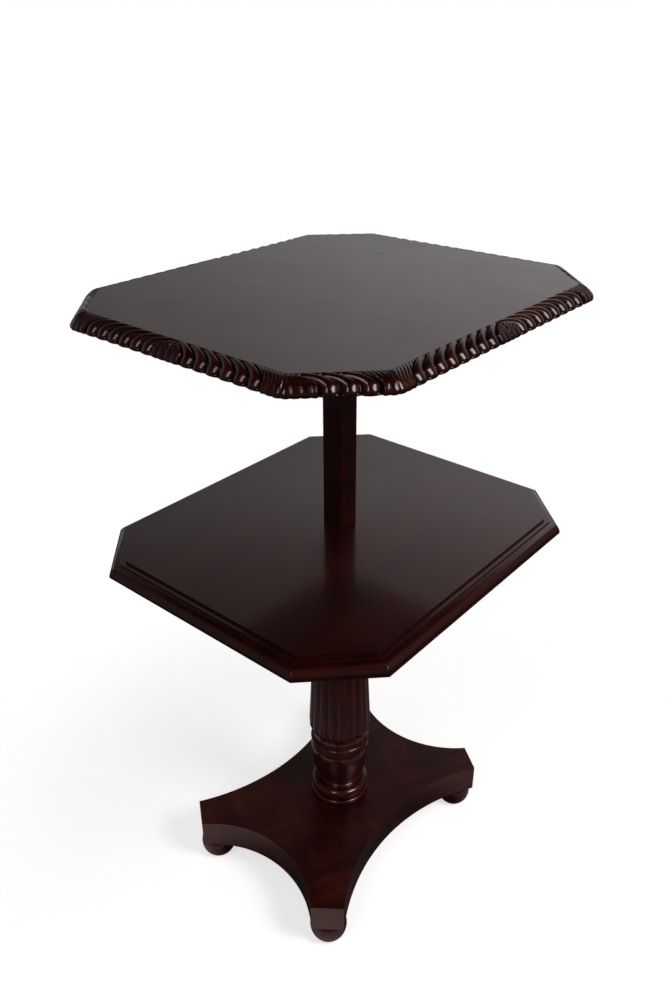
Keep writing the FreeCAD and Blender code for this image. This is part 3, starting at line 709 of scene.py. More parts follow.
@dataclass(frozen=True)
class Metal:
    """Iron or steel with a mottled, slightly rusted skin."""

    name: str
    colour: Colour
    rust: Colour
    rust_share: float
    roughness: float
    rust_roughness: float = 0.35
    patches: Pattern = Pattern((90.0, 90.0, 90.0), 5.0, 0.65, 0.0, (0.48, 0.72))
    grit: Pattern = Pattern((900.0, 900.0, 900.0))
    relief: float = 0.2
    relief_height: float = 0.0001

    def material(self) -> bpy.types.Material:
        """Build the shader.

        Returns:
            The material.
        """
        paint, g, place = start_material(self.name)
        rusty = self.patches.on(g, place) * self.rust_share
        g.principled({
            "Base Color": g.mixed(rusty, self.colour, self.rust),
            "Metallic": 1.0 - rusty,
            "Roughness": self.roughness + rusty * self.rust_roughness,
            "Normal": g.bump(self.grit.on(g, place), self.relief, self.relief_height),
        })
        return paint


class Finishes:
    """Every material of the table, built once."""

    def __init__(self) -> None:
        """Build them."""
        board = {"grain": Grain.LENGTHWAYS, "streak_width": 60.0, "figure": 0.12}
        warm = {"middle": (0.0300, 0.0018, 0.0013), "light": (0.1150, 0.0140, 0.0070)}
        self.tier_top = PolishedMahogany("tier_mahogany", **board).material()
        self.lower_tier = PolishedMahogany("lower_tier_mahogany", **board).material()
        # The carved finish paints shade into the carving's hollows.
        self.carved = PolishedMahogany(
            "carved_mahogany", Grain.LENGTHWAYS, streak_width=12.0, gloss_roughness=0.15, inner_gloss=0.15,
            hollow_painted_shade=0.95,
        ).material()
        self.upright = PolishedMahogany("upright_mahogany", Grain.UPRIGHT, streak_width=14.0).material()
        self.reeded = PolishedMahogany(
            "reeded_mahogany", Grain.UPRIGHT, streak_width=18.0, gloss_roughness=0.22, polish=0.35,
            middle=warm["middle"], light=(0.1150, 0.0130, 0.0068),
        ).material()
        self.turned = PolishedMahogany(
            "turned_mahogany", Grain.UPRIGHT, streak_width=20.0, figure=0.8, gloss_roughness=0.16, **warm,
        ).material()
        self.platform = PolishedMahogany(
            "platform_mahogany", Grain.DIAGONAL, streak_width=46.0, figure=0.55, gloss_roughness=0.27, **warm,
        ).material()
        self.beech = PlainBeech().material()
        self.iron = Metal("black_iron", (0.07, 0.068, 0.065), (0.05, 0.022, 0.012), 0.7, 0.45).material()
        self.steel = Metal("aged_steel", (0.36, 0.35, 0.33), (0.11, 0.05, 0.025), 0.5, 0.32).material()


def dress_node(node: str, material: bpy.types.Material) -> None:
    """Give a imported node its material.

    Args:
        node: the node's name.
        material: what it is made of.
    """
    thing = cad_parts[node]
    thing.data.materials.clear()
    thing.data.materials.append(material)
    LOG.info("%s keeps its packed shape and takes %s", node, material.name)


def place_piece(
    piece: bpy.types.Object, body: str, nodes: tuple[str, ...], paint: bpy.types.Material
) -> None:
    """Finish a built piece.

    Args:
        piece: the object, in place.
        body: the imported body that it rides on.
        nodes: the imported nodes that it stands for.
        paint: its material.
    """
    piece.data.materials.clear()
    piece.data.materials.append(paint)
    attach(piece, body)
    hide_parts(*nodes)
    LOG.info("%s: %d faces, in place of %s", piece.name, len(piece.data.polygons), ", ".join(nodes))


# ------------------------------------------------------------------ upper tier
@dataclass(frozen=True)
class EdgeRun:
    """One straight run of the carved edge, from mitre to mitre.

    Its lobes stand between first and last, in millimetres from its middle, and lean to first.
    A mirrored run has them on both sides of its middle, and a turned one counts backwards.
    """

    node: str
    middle: Point2
    outward: float
    half: float
    lobes: int
    first: float
    last: float
    mirrored: bool = False
    turned: bool = False


@dataclass
class CarvedEdge:
    """Nulled and leaf-carved moulding round the upper tier.

    Spans and shares of the carving count from 0 at the moulding's inner top edge to 1 at its underside.
    """

    width: float = 543.0
    length: float = 633.0
    cut: float = 90.0
    top: float = 1060.0
    depth_in: float = 23.0
    inner_round: float = 3.0
    step: float = 0.65
    section_rows: int = 62
    spline_steps: int = 40
    sharp: float = 38.0
    long_lobes: int = 8
    short_lobes: int = 6
    cant_lobes: int = 3
    middle_leaf: float = 24.0
    corner_leaf: float = 30.0
    cant_long_leaf: float = 42.0
    cant_short_leaf: float = 20.0
    tail_reach: float = 26.0
    tail_end: float = 0.50
    tail_curve: float = 1.6
    tail_crest: float = 0.62
    nose_crest: float = 0.46
    crest_span: Span = (0.14, 0.48)
    tail_sharpness: float = 1.2
    nose_sharpness: float = 1.0
    sharpness_span: Span = (0.05, 0.50)
    tail_depth: float = 3.8
    nose_depth: float = 5.8
    depth_span: Span = (0.30, 0.68)
    shallow_span: Span = (0.72, 0.90)
    shallow_share: float = 0.80
    under_start: float = 0.86
    under_length: float = 0.30
    lead_span: Span = (0.0, 0.04)
    vein_pitch: float = 5.5
    vein_reach: float = 13.0
    vein_depth: float = 0.6
    vein_end: float = 0.46
    vein_curve: float = 1.2
    vein_shape: float = 1.6
    vein_span: Span = (0.36, 0.52)
    ripple_pitch: float = 11.0
    ripple_depth: float = 0.7
    ripple_shape: float = 2.0
    ripple_span: Span = (0.40, 0.55)
    rim_width: float = 3.0
    rim_shape: float = 1.5
    fold_width: float = 1.6
    fold_share: float = 0.5
    lead_in: Point2 = (-5.0, 0.0)
    section: tuple[Point2, ...] = (
        (0.0, 0.0), (5.5, -0.6), (10.5, -2.6), (15.3, -6.1), (19.4, -10.2), (22.1, -13.9), (22.98, -17.1),
        (22.4, -19.4), (19.8, -20.8), (16.0, -21.0),
    )
    lead_out: Point2 = (13.0, -21.0)
    shared: tuple[str, ...] = (
        "tail_reach", "tail_crest", "nose_crest", "tail_sharpness", "nose_sharpness", "tail_depth",
        "nose_depth", "vein_pitch", "vein_reach", "vein_depth", "ripple_pitch", "ripple_depth",
    )

    def runs(self) -> list[EdgeRun]:
        """Lay out the eight runs.

        Returns:
            The runs, each with its name, place and length.
        """
        a, b, c = self.width / 2, self.length / 2, self.cut
        cant = c / math.sqrt(2)
        x, y = a - c / 2, b - c / 2
        long_side = (b - c, self.long_lobes, self.middle_leaf, b - c - self.corner_leaf, True)
        short_side = (a - c, self.short_lobes, self.middle_leaf, a - c - self.corner_leaf, True)
        corner = (cant, self.cant_lobes, self.cant_long_leaf - cant, cant - self.cant_short_leaf, False)
        return [
            EdgeRun("gadroon_long_right", (a, 0), 0, *long_side),
            EdgeRun("gadroon_long_left", (-a, 0), 180, *long_side),
            EdgeRun("gadroon_short_front", (0, -b), -90, *short_side),
            EdgeRun("gadroon_short_back", (0, b), 90, *short_side),
            EdgeRun("gadroon_cant_front_right", (x, -y), -45, *corner),
            EdgeRun("gadroon_cant_back_right", (x, y), 45, *corner, True),
            EdgeRun("gadroon_cant_back_left", (-x, y), 135, *corner),
            EdgeRun("gadroon_cant_front_left", (-x, -y), -135, *corner, True),
        ]

    def section_curve(self) -> tuple[np.ndarray, np.ndarray]:
        """Smooth curve through the section's points.

        Returns:
            Evenly spaced points (out, up) down the moulding's face, and their outward normals.
        """
        knots = np.array([self.lead_in, *self.section, self.lead_out])
        t = np.linspace(0, 1, self.spline_steps, endpoint=False)[:, None]
        fine = []
        for p0, p1, p2, p3 in zip(knots, knots[1:], knots[2:], knots[3:]):
            square = 2 * p0 - 5 * p1 + 4 * p2 - p3
            cube = 3 * p1 - p0 - 3 * p2 + p3
            fine.append(0.5 * (2 * p1 + (p2 - p0) * t + square * t**2 + cube * t**3))
        curve = np.vstack([*fine, knots[-2:-1]])
        run = np.concatenate([[0], np.cumsum(np.linalg.norm(np.diff(curve, axis=0), axis=1))])
        even = np.linspace(0, run[-1], self.section_rows)
        points = np.column_stack([np.interp(even, run, curve[:, k]) for k in (0, 1)])
        slope = np.gradient(points, axis=0)
        normals = np.column_stack([-slope[:, 1], slope[:, 0]])
        return points, normals / np.linalg.norm(normals, axis=1)[:, None]

    def strip(self, run: EdgeRun) -> tuple[bpy.types.Mesh, float]:
        """Uncarved moulding of one run.

        Args:
            run: which run.

        Returns:
            Its closed mesh with the attributes along, across and outward, and how far it reaches along.
        """
        section, normals = self.section_curve()
        face = np.vstack([section, [0.0, section[-1, 1]]])
        normals = np.vstack([normals, [0.0, 0.0]])
        across = np.append(np.linspace(0, 1, self.section_rows), 1.0)
        outer = self.inner_round + self.depth_in
        bend = run.half - outer * math.tan(HALF_CORNER)
        reach = bend + outer * HALF_CORNER
        columns = 2 * int(reach / self.step) + 1
        along = np.linspace(-reach, reach, columns)
        turn = np.sign(along) * np.maximum(np.abs(along) - bend, 0) / outer
        arm = self.inner_round + face[:, :1]
        side = np.clip(along, -bend, bend) + arm * np.sin(turn)
        out = arm * np.cos(turn) - outer
        up = np.broadcast_to(face[:, 1:] + self.top, side.shape)
        angle = math.radians(run.outward)
        to_x, to_y = math.cos(angle), math.sin(angle)
        x, y = run.middle
        points = np.stack([x + out * to_x - side * to_y, y + out * to_y + side * to_x, up], -1)
        lean, level = angle - turn, normals[:, :1]
        upward = np.broadcast_to(normals[:, 1:], side.shape)
        facing = np.stack([level * np.cos(lean), level * np.sin(lean), upward], -1)
        starts = [i * columns for i in range(len(face))]
        ends = [tuple(starts), tuple(start + columns - 1 for start in reversed(starts))]
        mesh = raw_mesh(run.node, points, grid_faces(len(face), columns, True) + ends)
        store(mesh, "along", np.broadcast_to(along, side.shape))
        store(mesh, "across", np.broadcast_to(across[:, None], side.shape))
        store(mesh, "outward", facing, "FLOAT_VECTOR")
        return mesh, reach

    def carving(self, run: EdgeRun, reach: float, paint: bpy.types.Material) -> GeometryGraph:
        """Geometry tree that sinks the grooves between the lobes and the veins of the leaves.

        Args:
            run: which run.
            reach: how far the strip goes to each side.
            paint: the material it leaves on the mesh.

        Returns:
            The tree.
        """
        sizes = {
            "mirrored": float(run.mirrored),
            "direction": -1.0 if run.turned else 1.0,
            "lobes_start": run.first,
            "lobe_pitch": (run.last - run.first) / run.lobes,
            "lobe_count": float(run.lobes),
            "leaf_spine": 0.0 if run.mirrored else -reach,
            "run_end": reach,
        }
        sizes.update((name, getattr(self, name)) for name in self.shared)
        inputs = {name: ("NodeSocketFloat", size) for name, size in sizes.items()}
        g = GeometryGraph(run.node + "_carving", inputs)
        along, across, outward = g.stored("along"), g.stored("across"), g.stored("outward", "FLOAT_VECTOR")
        pitch = g.given("lobe_pitch")
        away = g.given("mirrored").between(along * g.given("direction"), abs(along))
        swept = away + g.given("tail_reach") * (1 - across / self.tail_end).at_least(0.0) ** self.tail_curve
        into = swept - g.given("lobes_start")
        beyond = into - pitch * g.given("lobe_count")
        under = ((across - self.under_start) / self.under_length).at_least(0.0)
        depth = across.eased(*self.depth_span).between(g.given("tail_depth"), g.given("nose_depth"))
        depth = depth * (1 - across.eased(*self.shallow_span) * self.shallow_share)
        crest = across.eased(*self.crest_span).between(g.given("tail_crest"), g.given("nose_crest"))
        share = (into / pitch).fraction() - crest
        side = (share / (1 - crest)).at_least(share * -1.0 / crest)
        blunt, keen = g.given("nose_sharpness"), g.given("tail_sharpness")
        sharpness = across.eased(*self.sharpness_span).between(keen, blunt)
        lobe = depth * ((side * side + under * under) ** sharpness).at_most(1.0)
        first_leaf = self.leaf(g, away - g.given("leaf_spine"), into * -1.0, across, depth, under)
        last_leaf = self.leaf(g, g.given("run_end") - away, beyond, across, depth, under)
        sink = into.over(0.0).between(first_leaf, beyond.over(0.0).between(lobe, last_leaf))
        sink = sink * across.eased(*self.lead_span)
        offset = g.add("ShaderNodeVectorMath", {"operation": "SCALE"}, {0: outward, "Scale": sink * -MM})
        carved = g.add("GeometryNodeSetPosition", None, {"Geometry": g.given("Geometry"), "Offset": offset})
        # The cut's depth is kept as hollow, for the painted shade of the carved finish.
        kept = g.add("GeometryNodeStoreNamedAttribute", {"data_type": "FLOAT", "domain": "POINT"}, {
            "Geometry": carved, "Name": "hollow", "Value": sink / g.given("nose_depth"),
        })
        g.end(kept, paint)
        return g

    def leaf(self, g: GeometryGraph, spine: Sock, gap: Sock, across: Sock, depth: Sock, under: Sock) -> Sock:
        """How deep a leaf is cut: fine veins above, soft ripples below, and a groove round it.

        Args:
            g: the tree.
            spine: millimetres from the leaf's spine.
            gap: millimetres from the lobes beside it.
            across: from 0 at the moulding's inner top edge to 1 at its underside.
            depth: the depth of the grooves between the lobes.
            under: rises from 0 where the moulding turns under.

        Returns:
            The depth in millimetres.
        """
        lift = g.given("vein_reach") * (1 - across / self.vein_end).at_least(0.0) ** self.vein_curve
        vein = abs(((spine - lift) / g.given("vein_pitch")).fraction() * 2 - 1) ** self.vein_shape
        ripple = abs((spine / g.given("ripple_pitch")).fraction() * 2 - 1) ** self.ripple_shape
        above = vein * g.given("vein_depth") * (1 - across.eased(*self.vein_span))
        below = ripple * g.given("ripple_depth") * across.eased(*self.ripple_span)
        rim = (1 - gap / self.rim_width).at_least(0.0).at_most(1.0) ** self.rim_shape
        fold = (1 - spine / self.fold_width).at_least(0.0).at_most(1.0) * self.fold_share
        grooves = (depth * rim).at_least(depth * fold).at_least(depth * (under * under).at_most(1.0))
        return above.at_least(below).at_least(grooves)

    def build(self, paint: bpy.types.Material) -> None:
        """Carve, finish and place the eight runs.

        Args:
            paint: their finish.
        """
        for run in self.runs():
            strip, reach = self.strip(run)
            piece = self.carving(run, reach, paint).bake("carved_" + run.node, strip)
            smooth_by_angle(piece.data, self.sharp)
            place_piece(piece, "top", (run.node,), paint)


@dataclass
class UpperTier:
    """The tier that slides, on its post."""

    edge: CarvedEdge
    board_thickness: float = 16.0
    screw_length: float = 14.0
    sharp: float = 25.0

    def board(self, paint: bpy.types.Material) -> None:
        """Build the flat board up to the carving's inner edge.

        Args:
            paint: its finish.
        """
        edge = self.edge
        outline = octagon(edge.width, edge.length, edge.cut, edge.depth_in)
        rings = stacked(outline, (edge.top - self.board_thickness, edge.top))
        mesh = prism("tier_board", rings, [], self.sharp)
        place_piece(new_object("tier_board", mesh), "top", ("top_board",), paint)

    def build(self, finishes: Finishes) -> None:
        """Build the board and its edge, and dress the post and the ironwork.

        Args:
            finishes: the table's materials.
        """
        self.board(finishes.tier_top)
        self.edge.build(finishes.carved)
        dress_node("post", finishes.upright)
        dress_node("post_shoe", finishes.beech)
        dress_node("post_plate", finishes.iron)
        for node in ("plate_post_screws", "shoe_screw", "spring_catch", "catch_screws"):
            dress_node(node, finishes.steel)
        SlottedScrews("plate_screws", "plate_board_screws", "top", self.screw_length).build(finishes.steel)


# ------------------------------------------------------------------ repeated pieces
def set_of(
    name: str, unit: bpy.types.Mesh, places: list[Point3], turns: tuple[float, ...], paint: bpy.types.Material
) -> bpy.types.Object:
    """Copies of one mesh at several places.

    Args:
        name: the piece's name.
        unit: the mesh to copy.
        places: where, in millimetres.
        turns: each copy's turn about Z in degrees.
        paint: their material.

    Returns:
        One plain object.
    """
    source = new_object(name + "_unit", unit)
    g = GeometryGraph(name + "_set", {"Unit": ("NodeSocketObject", source)})
    points = g.add("GeometryNodeMeshToPoints", None, {"Mesh": g.given("Geometry")})
    g.end(g.copies(points, g.stored("turn")), paint)
    seats = raw_mesh(name + "_seats", places, [])
    store(seats, "turn", [math.radians(t) for t in turns])
    piece = g.bake(name, seats)
    bpy.data.objects.remove(source)
    return piece


def ring_of(
    name: str, unit: bpy.types.Mesh, count: int, phase: float, paint: bpy.types.Material
) -> bpy.types.Object:
    """Copies of one sector turned about the Z axis and welded into a closed ring.

    Args:
        name: the piece's name.
        unit: the sector's mesh.
        count: how many sectors make the ring.
        phase: the first one's turn in degrees.
        paint: their material.

    Returns:
        One plain object.
    """
    source = new_object(name + "_unit", unit)
    g = GeometryGraph(name + "_ring", {
        "Unit": ("NodeSocketObject", source),
        "Count": ("NodeSocketInt", count),
        "Phase": ("NodeSocketFloat", math.radians(phase)),
    })
    points = g.add("GeometryNodePoints", None, {"Count": g.given("Count")})
    turn = g.add("GeometryNodeInputIndex") * FULL_TURN / g.given("Count") + g.given("Phase")
    real = g.add("GeometryNodeRealizeInstances", None, {0: g.copies(points, turn)})
    g.end(g.add("GeometryNodeMergeByDistance", None, {"Geometry": real, "Distance": RING_WELD * MM}), paint)
    piece = g.bake(name, bpy.data.meshes.new(name + "_empty"))
    bpy.data.objects.remove(source)
    return piece


@dataclass
class SlottedScrews:
    """A set of countersunk screws with slotted heads that face down."""

    name: str
    node: str
    body: str
    length: float
    head_radius: float = 4.8
    head_height: float = 2.8
    neck_share: float = 0.62
    shank_share: float = 0.5
    shank_step: float = 0.1
    slot_width: float = 1.1
    slot_depth: float = 1.0
    bow_points: int = 17
    turn_step: float = 37.0
    search_grid: float = 8.0
    search_reach: float = 13.0

    def unit(self) -> bpy.types.Mesh:
        """One screw with its head's face on the origin.

        Returns:
            Its closed mesh.
        """
        half, radius = self.slot_width / 2, self.head_radius
        edge = math.asin(half / radius)
        angles = np.linspace(edge, math.pi - edge, self.bow_points)
        bow = [(radius * math.cos(t), radius * math.sin(t)) for t in angles]
        right, left, count = bow[0][0], bow[-1][0], 2 * len(bow)
        slot = [(right, half), (left, half), (left, -half), (right, -half)]
        points = [(x, sign * y, 0.0) for sign in (1, -1) for x, y in bow]
        points += [(x, y, z) for z in (0.0, self.slot_depth) for x, y in slot]
        faces = [tuple(range(len(bow))), tuple(range(len(bow), count))]
        faces += [tuple(count + i for i in wall) for wall in ((0, 1, 5, 4), (2, 3, 7, 6), (4, 5, 6, 7))]
        base = len(points)
        levels = (
            (1.0, 0.0), (1.0, self.slot_depth), (self.neck_share, self.head_height),
            (self.shank_share, self.head_height + self.shank_step), (self.shank_share, self.length),
        )
        rim = bow + [(-x, -y) for x, y in bow]
        points += [(x * share, y * share, z) for share, z in levels for x, y in rim]
        side = grid_faces(len(levels), count, False, True)
        slot_ends = (len(bow) - 1, count - 1)
        faces += [tuple(base + i for i in quad) for i, quad in enumerate(side) if i not in slot_ends]
        faces.append(tuple(range(len(points) - count, len(points))))
        return solid_mesh(self.name + "_unit", points, faces)

    def centres(self) -> list[Point2]:
        """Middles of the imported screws, found from their points.

        Returns:
            Each screw's place in millimetres.
        """
        spots = np.array([vertex.co[:2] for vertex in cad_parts[self.node].data.vertices]) / MM
        found: list[np.ndarray] = []
        for cell in np.unique(np.round(spots / self.search_grid) * self.search_grid, axis=0):
            start = spots[np.hypot(*(spots - cell).T).argmin()]
            if all(np.hypot(*(start - centre)) > self.search_reach for centre in found):
                near = spots[np.hypot(*(spots - start).T) < self.search_reach]
                found.append((near.min(0) + near.max(0)) / 2)
        return [(float(x), float(y)) for x, y in found]

    def build(self, paint: bpy.types.Material) -> None:
        """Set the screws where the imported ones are.

        Args:
            paint: their finish.
        """
        low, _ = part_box(self.node)
        places = [(x, y, low.z / MM) for x, y in self.centres()]
        turns = tuple(self.turn_step * i % 180 for i in range(len(places)))
        piece = set_of(self.name, self.unit(), places, turns, paint)
        place_piece(piece, self.body, (self.node,), paint)


# ------------------------------------------------------------------ lower tier
@dataclass
class LowerTier:
    """Fixed tier with a thumb moulding, on its bearer block."""

    width: float = 538.0
    length: float = 628.0
    cut: float = 88.0
    top: float = 684.0
    thickness: float = 22.0
    field_step: float = 3.5
    ledge: float = 8.0
    ledge_step: float = 2.0
    thumb: float = 16.5
    thumb_points: int = 15
    fillet: float = 2.0
    hole: float = 37.3
    arris: float = 0.4
    screw_length: float = 40.0
    sharp: float = 28.0

    def profile(self) -> list[Point2]:
        """Draw the moulding, from the underside up.

        Returns:
            Its points as (inset, height).
        """
        low, ledge = self.top - self.thickness, self.top - self.field_step
        thumb_low, thumb_high = low + self.fillet, ledge - self.ledge_step
        share = math.sqrt(0.5)
        bulge = (self.thumb * (1 - share), thumb_low + (thumb_high - thumb_low) * share)
        thumb = arc_through((0, thumb_low), bulge, (self.thumb, thumb_high), self.thumb_points)
        steps = [(self.thumb, ledge), (self.thumb + self.ledge, ledge), (self.thumb + self.ledge, self.top)]
        return [(0.0, low), *thumb, *steps]

    def build(self, finishes: Finishes) -> None:
        """Build the moulded board and dress what carries it.

        Args:
            finishes: the table's materials.
        """
        insets = [(octagon(self.width, self.length, self.cut, inset), z) for inset, z in self.profile()]
        rings = [[(x, y, z) for x, y in outline] for outline, z in insets]
        half = self.hole / 2
        hole = [(half, half), (-half, half), (-half, -half), (half, -half)]
        piece = eased_edges(prism("moulded_tier", rings, hole, self.sharp), self.arris, 2)
        place_piece(piece, "stand", ("lower_board",), finishes.lower_tier)
        dress_node("bearer_block", finishes.beech)
        screws = SlottedScrews("bearer_screws_slotted", "bearer_screws", "stand", self.screw_length)
        screws.build(finishes.steel)


# ------------------------------------------------------------------ column
@dataclass
class ReededColumn:
    """Tapering reeded shaft on a vase turning and a base ring.

    Rows of a turning are a corner's radius and height, and for a round its bow and number of points.
    """

    reeds: int = 18
    phase: float = 14.0
    reed_radius: float = 12.5
    reed_columns: int = 15
    foot_radius: float = 56.0
    head_radius: float = 38.0
    foot: float = 259.0
    head: float = 628.0
    shaft_rows: int = 24
    ring_radius: float = 40.0
    ring_height: float = 8.0
    ring_points: int = 10
    end_round: float = 10.0
    end_drop: float = 7.5
    end_rows: int = 9
    tenon_radius: float = 31.0
    tenon_top: float = 656.0
    socket_radius: float = 37.05
    socket_top: float = 273.05
    shoe_bore: float = 32.2
    throat_bore: float = 26.8
    throat_end: float = 594.0
    sharp: float = 35.0
    vase: tuple[tuple[float, ...], ...] = (
        (0.0, 47.9), (20.0, 47.9), (20.0, 134.5), (38.5, 134.5), (38.5, 137.0, -3.5, 12),
        (38.5, 147.0, 1.2, 12), (44.5, 153.5, 1.2, 20), (52.5, 206.5, 1.6, 14), (48.5, 226.5), (48.5, 229.5),
        (49.0, 229.5, 4.0, 16), (49.0, 237.5, -2.5, 14), (49.0, 259.0), (37.0, 259.0), (37.0, 273.0),
        (32.2, 273.0), (32.2, 204.7), (0.0, 204.7),
    )
    base_ring: tuple[tuple[float, ...], ...] = (
        (48.25, 102.0, 4.75, 16), (48.25, 111.5), (42.5, 113.5, 10.5, 28), (42.5, 134.5), (20.05, 134.5),
        (20.05, 102.0),
    )

    def taper(self, height: float) -> float:
        """Size of the shaft at a height, as a share of its foot's."""
        return 1 + (self.head_radius / self.foot_radius - 1) * (height - self.foot) / (self.head - self.foot)

    def reed_levels(self) -> list[Point2]:
        """Space the reeds' levels, closer at their rounded ends.

        Returns:
            Each level from foot to head, with how far the reeds drop in there.
        """
        quarter = np.linspace(0, math.pi / 2, self.end_rows)
        ends = [(self.end_round * (1 - math.cos(t)), self.end_drop * (1 - math.sin(t))) for t in quarter]
        plain = np.linspace(self.foot + self.end_round, self.head - self.end_round, self.shaft_rows)[1:-1]
        foot = [(self.foot + rise, drop) for rise, drop in ends]
        head = [(self.head - rise, drop) for rise, drop in reversed(ends)]
        return foot + [(z, 0.0) for z in plain] + head

    def inner_corners(self) -> list[Point2]:
        """Draw the shaft's head, tenon and bore.

        Returns:
            Their points as (radius, height), from the reeds' head round to their foot.
        """
        ring_in, ring_top = self.ring_radius - self.ring_height / 2, self.head + self.ring_height
        return bowed((ring_in, self.head), (ring_in, ring_top), self.ring_height / 2, self.ring_points) + [
            (ring_in, ring_top), (self.tenon_radius, ring_top), (self.tenon_radius, self.tenon_top),
            (self.throat_bore, self.tenon_top), (self.throat_bore, self.throat_end),
            (self.shoe_bore, self.throat_end), (self.shoe_bore, self.socket_top),
            (self.socket_radius, self.socket_top), (self.socket_radius, self.foot),
        ]

    def shaft_unit(self) -> bpy.types.Mesh:
        """One reed's sector of the bored shaft.

        Returns:
            Its open mesh, a closed run from its bore round to its face.
        """
        turns = np.linspace(-math.pi / self.reeds, math.pi / self.reeds, self.reed_columns)
        centre = self.foot_radius - self.reed_radius
        reed = centre * np.cos(turns) + np.sqrt(self.reed_radius**2 - (centre * np.sin(turns)) ** 2)
        rows = [(z, self.taper(z) * reed - drop) for z, drop in self.reed_levels()]
        rows += [(z, np.full(len(turns), radius)) for radius, z in self.inner_corners()]
        points = [(r * math.cos(t), r * math.sin(t), z) for z, radii in rows for r, t in zip(radii, turns)]
        mesh = raw_mesh("reed_sector", points, grid_faces(len(rows), len(turns), True))
        mesh.flip_normals()
        return mesh

    def build(self, finishes: Finishes) -> None:
        """Build the shaft and the turnings.

        Args:
            finishes: the table's materials.
        """
        shaft = ring_of("reeded_shaft", self.shaft_unit(), self.reeds, self.phase, finishes.reeded)
        smooth_by_angle(shaft.data, self.sharp)
        place_piece(shaft, "stand", ("column_shaft",), finishes.reeded)
        for name, rows, node in (
            ("vase_turning", self.vase, "column_vase"), ("base_ring", self.base_ring, "column_base_ring"),
        ):
            piece = new_object(name, lathe(name, turned_profile(rows)))
            place_piece(piece, "stand", (node,), finishes.turned)
        dress_node("tenon_wedge", finishes.beech)


# ------------------------------------------------------------------ base
@dataclass
class Base:
    """Hollow-sided platform on four bun feet."""

    width: float = 351.0
    length: float = 467.5
    thickness: float = 54.5
    arm_cut_x: float = 43.7
    arm_cut_y: float = 33.4
    long_hollow: float = 59.0
    short_hollow: float = 55.7
    long_points: int = 56
    short_points: int = 44
    arris: float = 1.1
    sharp: float = 25.0
    tenon: float = 20.05
    tenon_points: int = 64
    foot_height: float = 47.5
    foot_radius: float = 31.4
    foot_waist: float = 24.0
    foot_base: float = 17.0
    foot_neck: float = 24.0
    foot_points: int = 33
    foot_segments: int = 96
    spigot_radius: float = 11.0
    spigot_height: float = 24.0
    foot_turns: tuple[float, ...] = (0.0, 80.0, 150.0, 230.0)
    corners: tuple[str, ...] = ("front_right", "back_right", "back_left", "front_left")

    def outline(self) -> list[Point2]:
        """Draw the platform: four hollow sides between the arms' flat ends.

        Returns:
            Its points in order.
        """
        a, b = self.width / 2, self.length / 2
        x, y = a - self.arm_cut_x, b - self.arm_cut_y
        points: list[Point2] = []
        for s in (1, -1):
            points += bowed((s * a, -s * y), (s * a, s * y), -self.long_hollow, self.long_points)
            points += [(s * a, s * y)]
            points += bowed((s * x, s * b), (-s * x, s * b), -self.short_hollow, self.short_points)
            points += [(-s * x, s * b)]
        return points

    def foot_profile(self) -> list[Point2]:
        """Draw the bun foot with its spigot, from the floor up.

        Returns:
            Its points as (radius, height).
        """
        waist, neck = (self.foot_radius, self.foot_waist), (self.foot_neck, self.foot_height)
        bulge = arc_through((self.foot_base, 0), waist, neck, self.foot_points)
        top = self.foot_height + self.spigot_height
        spigot = self.spigot_radius
        return [(0.0, 0.0), *bulge, (spigot, self.foot_height), (spigot, top), (0.0, top)]

    def build(self, finishes: Finishes) -> None:
        """Build the platform and its feet.

        Args:
            finishes: the table's materials.
        """
        rings = stacked(self.outline(), (self.foot_height, self.foot_height + self.thickness))
        angles = np.arange(self.tenon_points) * (FULL_TURN / self.tenon_points)
        hole = [(self.tenon * math.cos(t), self.tenon * math.sin(t)) for t in angles]
        piece = eased_edges(prism("hollow_platform", rings, hole, self.sharp), self.arris, 3)
        place_piece(piece, "stand", ("platform",), finishes.platform)
        nodes = tuple("bun_foot_" + corner for corner in self.corners)
        boxes = [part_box(node) for node in nodes]
        places = [((low.x + high.x) / 2 / MM, (low.y + high.y) / 2 / MM, 0.0) for low, high in boxes]
        foot = lathe("bun_foot", self.foot_profile(), self.foot_segments)
        feet = set_of("bun_feet", foot, places, self.foot_turns, finishes.turned)
        place_piece(feet, "stand", nodes, finishes.turned)


# ------------------------------------------------------------------ studio
def bearing(azimuth: float, elevation: float) -> Vector:
    """Direction at an azimuth, counted from -Y towards +X, and an elevation, both in degrees."""
    az, el = math.radians(azimuth), math.radians(elevation)
    return Vector((math.sin(az) * math.cos(el), -math.cos(az) * math.cos(el), math.sin(el)))


@dataclass
class ViewPoint:
    """Camera that looks down on the table from beyond a corner."""

    azimuth: float = 40.20
    elevation: float = 29.02
    roll: float = -0.23
    distance: float = 1354.67
    target_side: float = -9.85
    target_up: float = 723.74
    focal_share: float = 0.86562
    sensor: float = 36.0
    nearest: float = 0.05
    farthest: float = 60.0

    def build(self) -> None:
        """Set the camera, level but for a slight roll."""
        back, roll = bearing(self.azimuth, self.elevation), math.radians(self.roll)
        level = Vector((math.cos(math.radians(self.azimuth)), math.sin(math.radians(self.azimuth)), 0))
        right = level * math.cos(roll) + back.cross(level) * math.sin(roll)
        lens = bpy.data.cameras.new("camera")
        lens.sensor_width = self.sensor
        lens.lens = self.sensor * self.focal_share
        lens.clip_start, lens.clip_end = self.nearest, self.farthest
        eye = new_object("camera", lens)
        place = Matrix((right, back.cross(right), back)).transposed().to_4x4()
        target = level * (self.target_side * MM) + Vector((0, 0, self.target_up * MM))
        place.translation = target + back * (self.distance * MM)
        eye.matrix_world = place
        bpy.context.scene.camera = eye


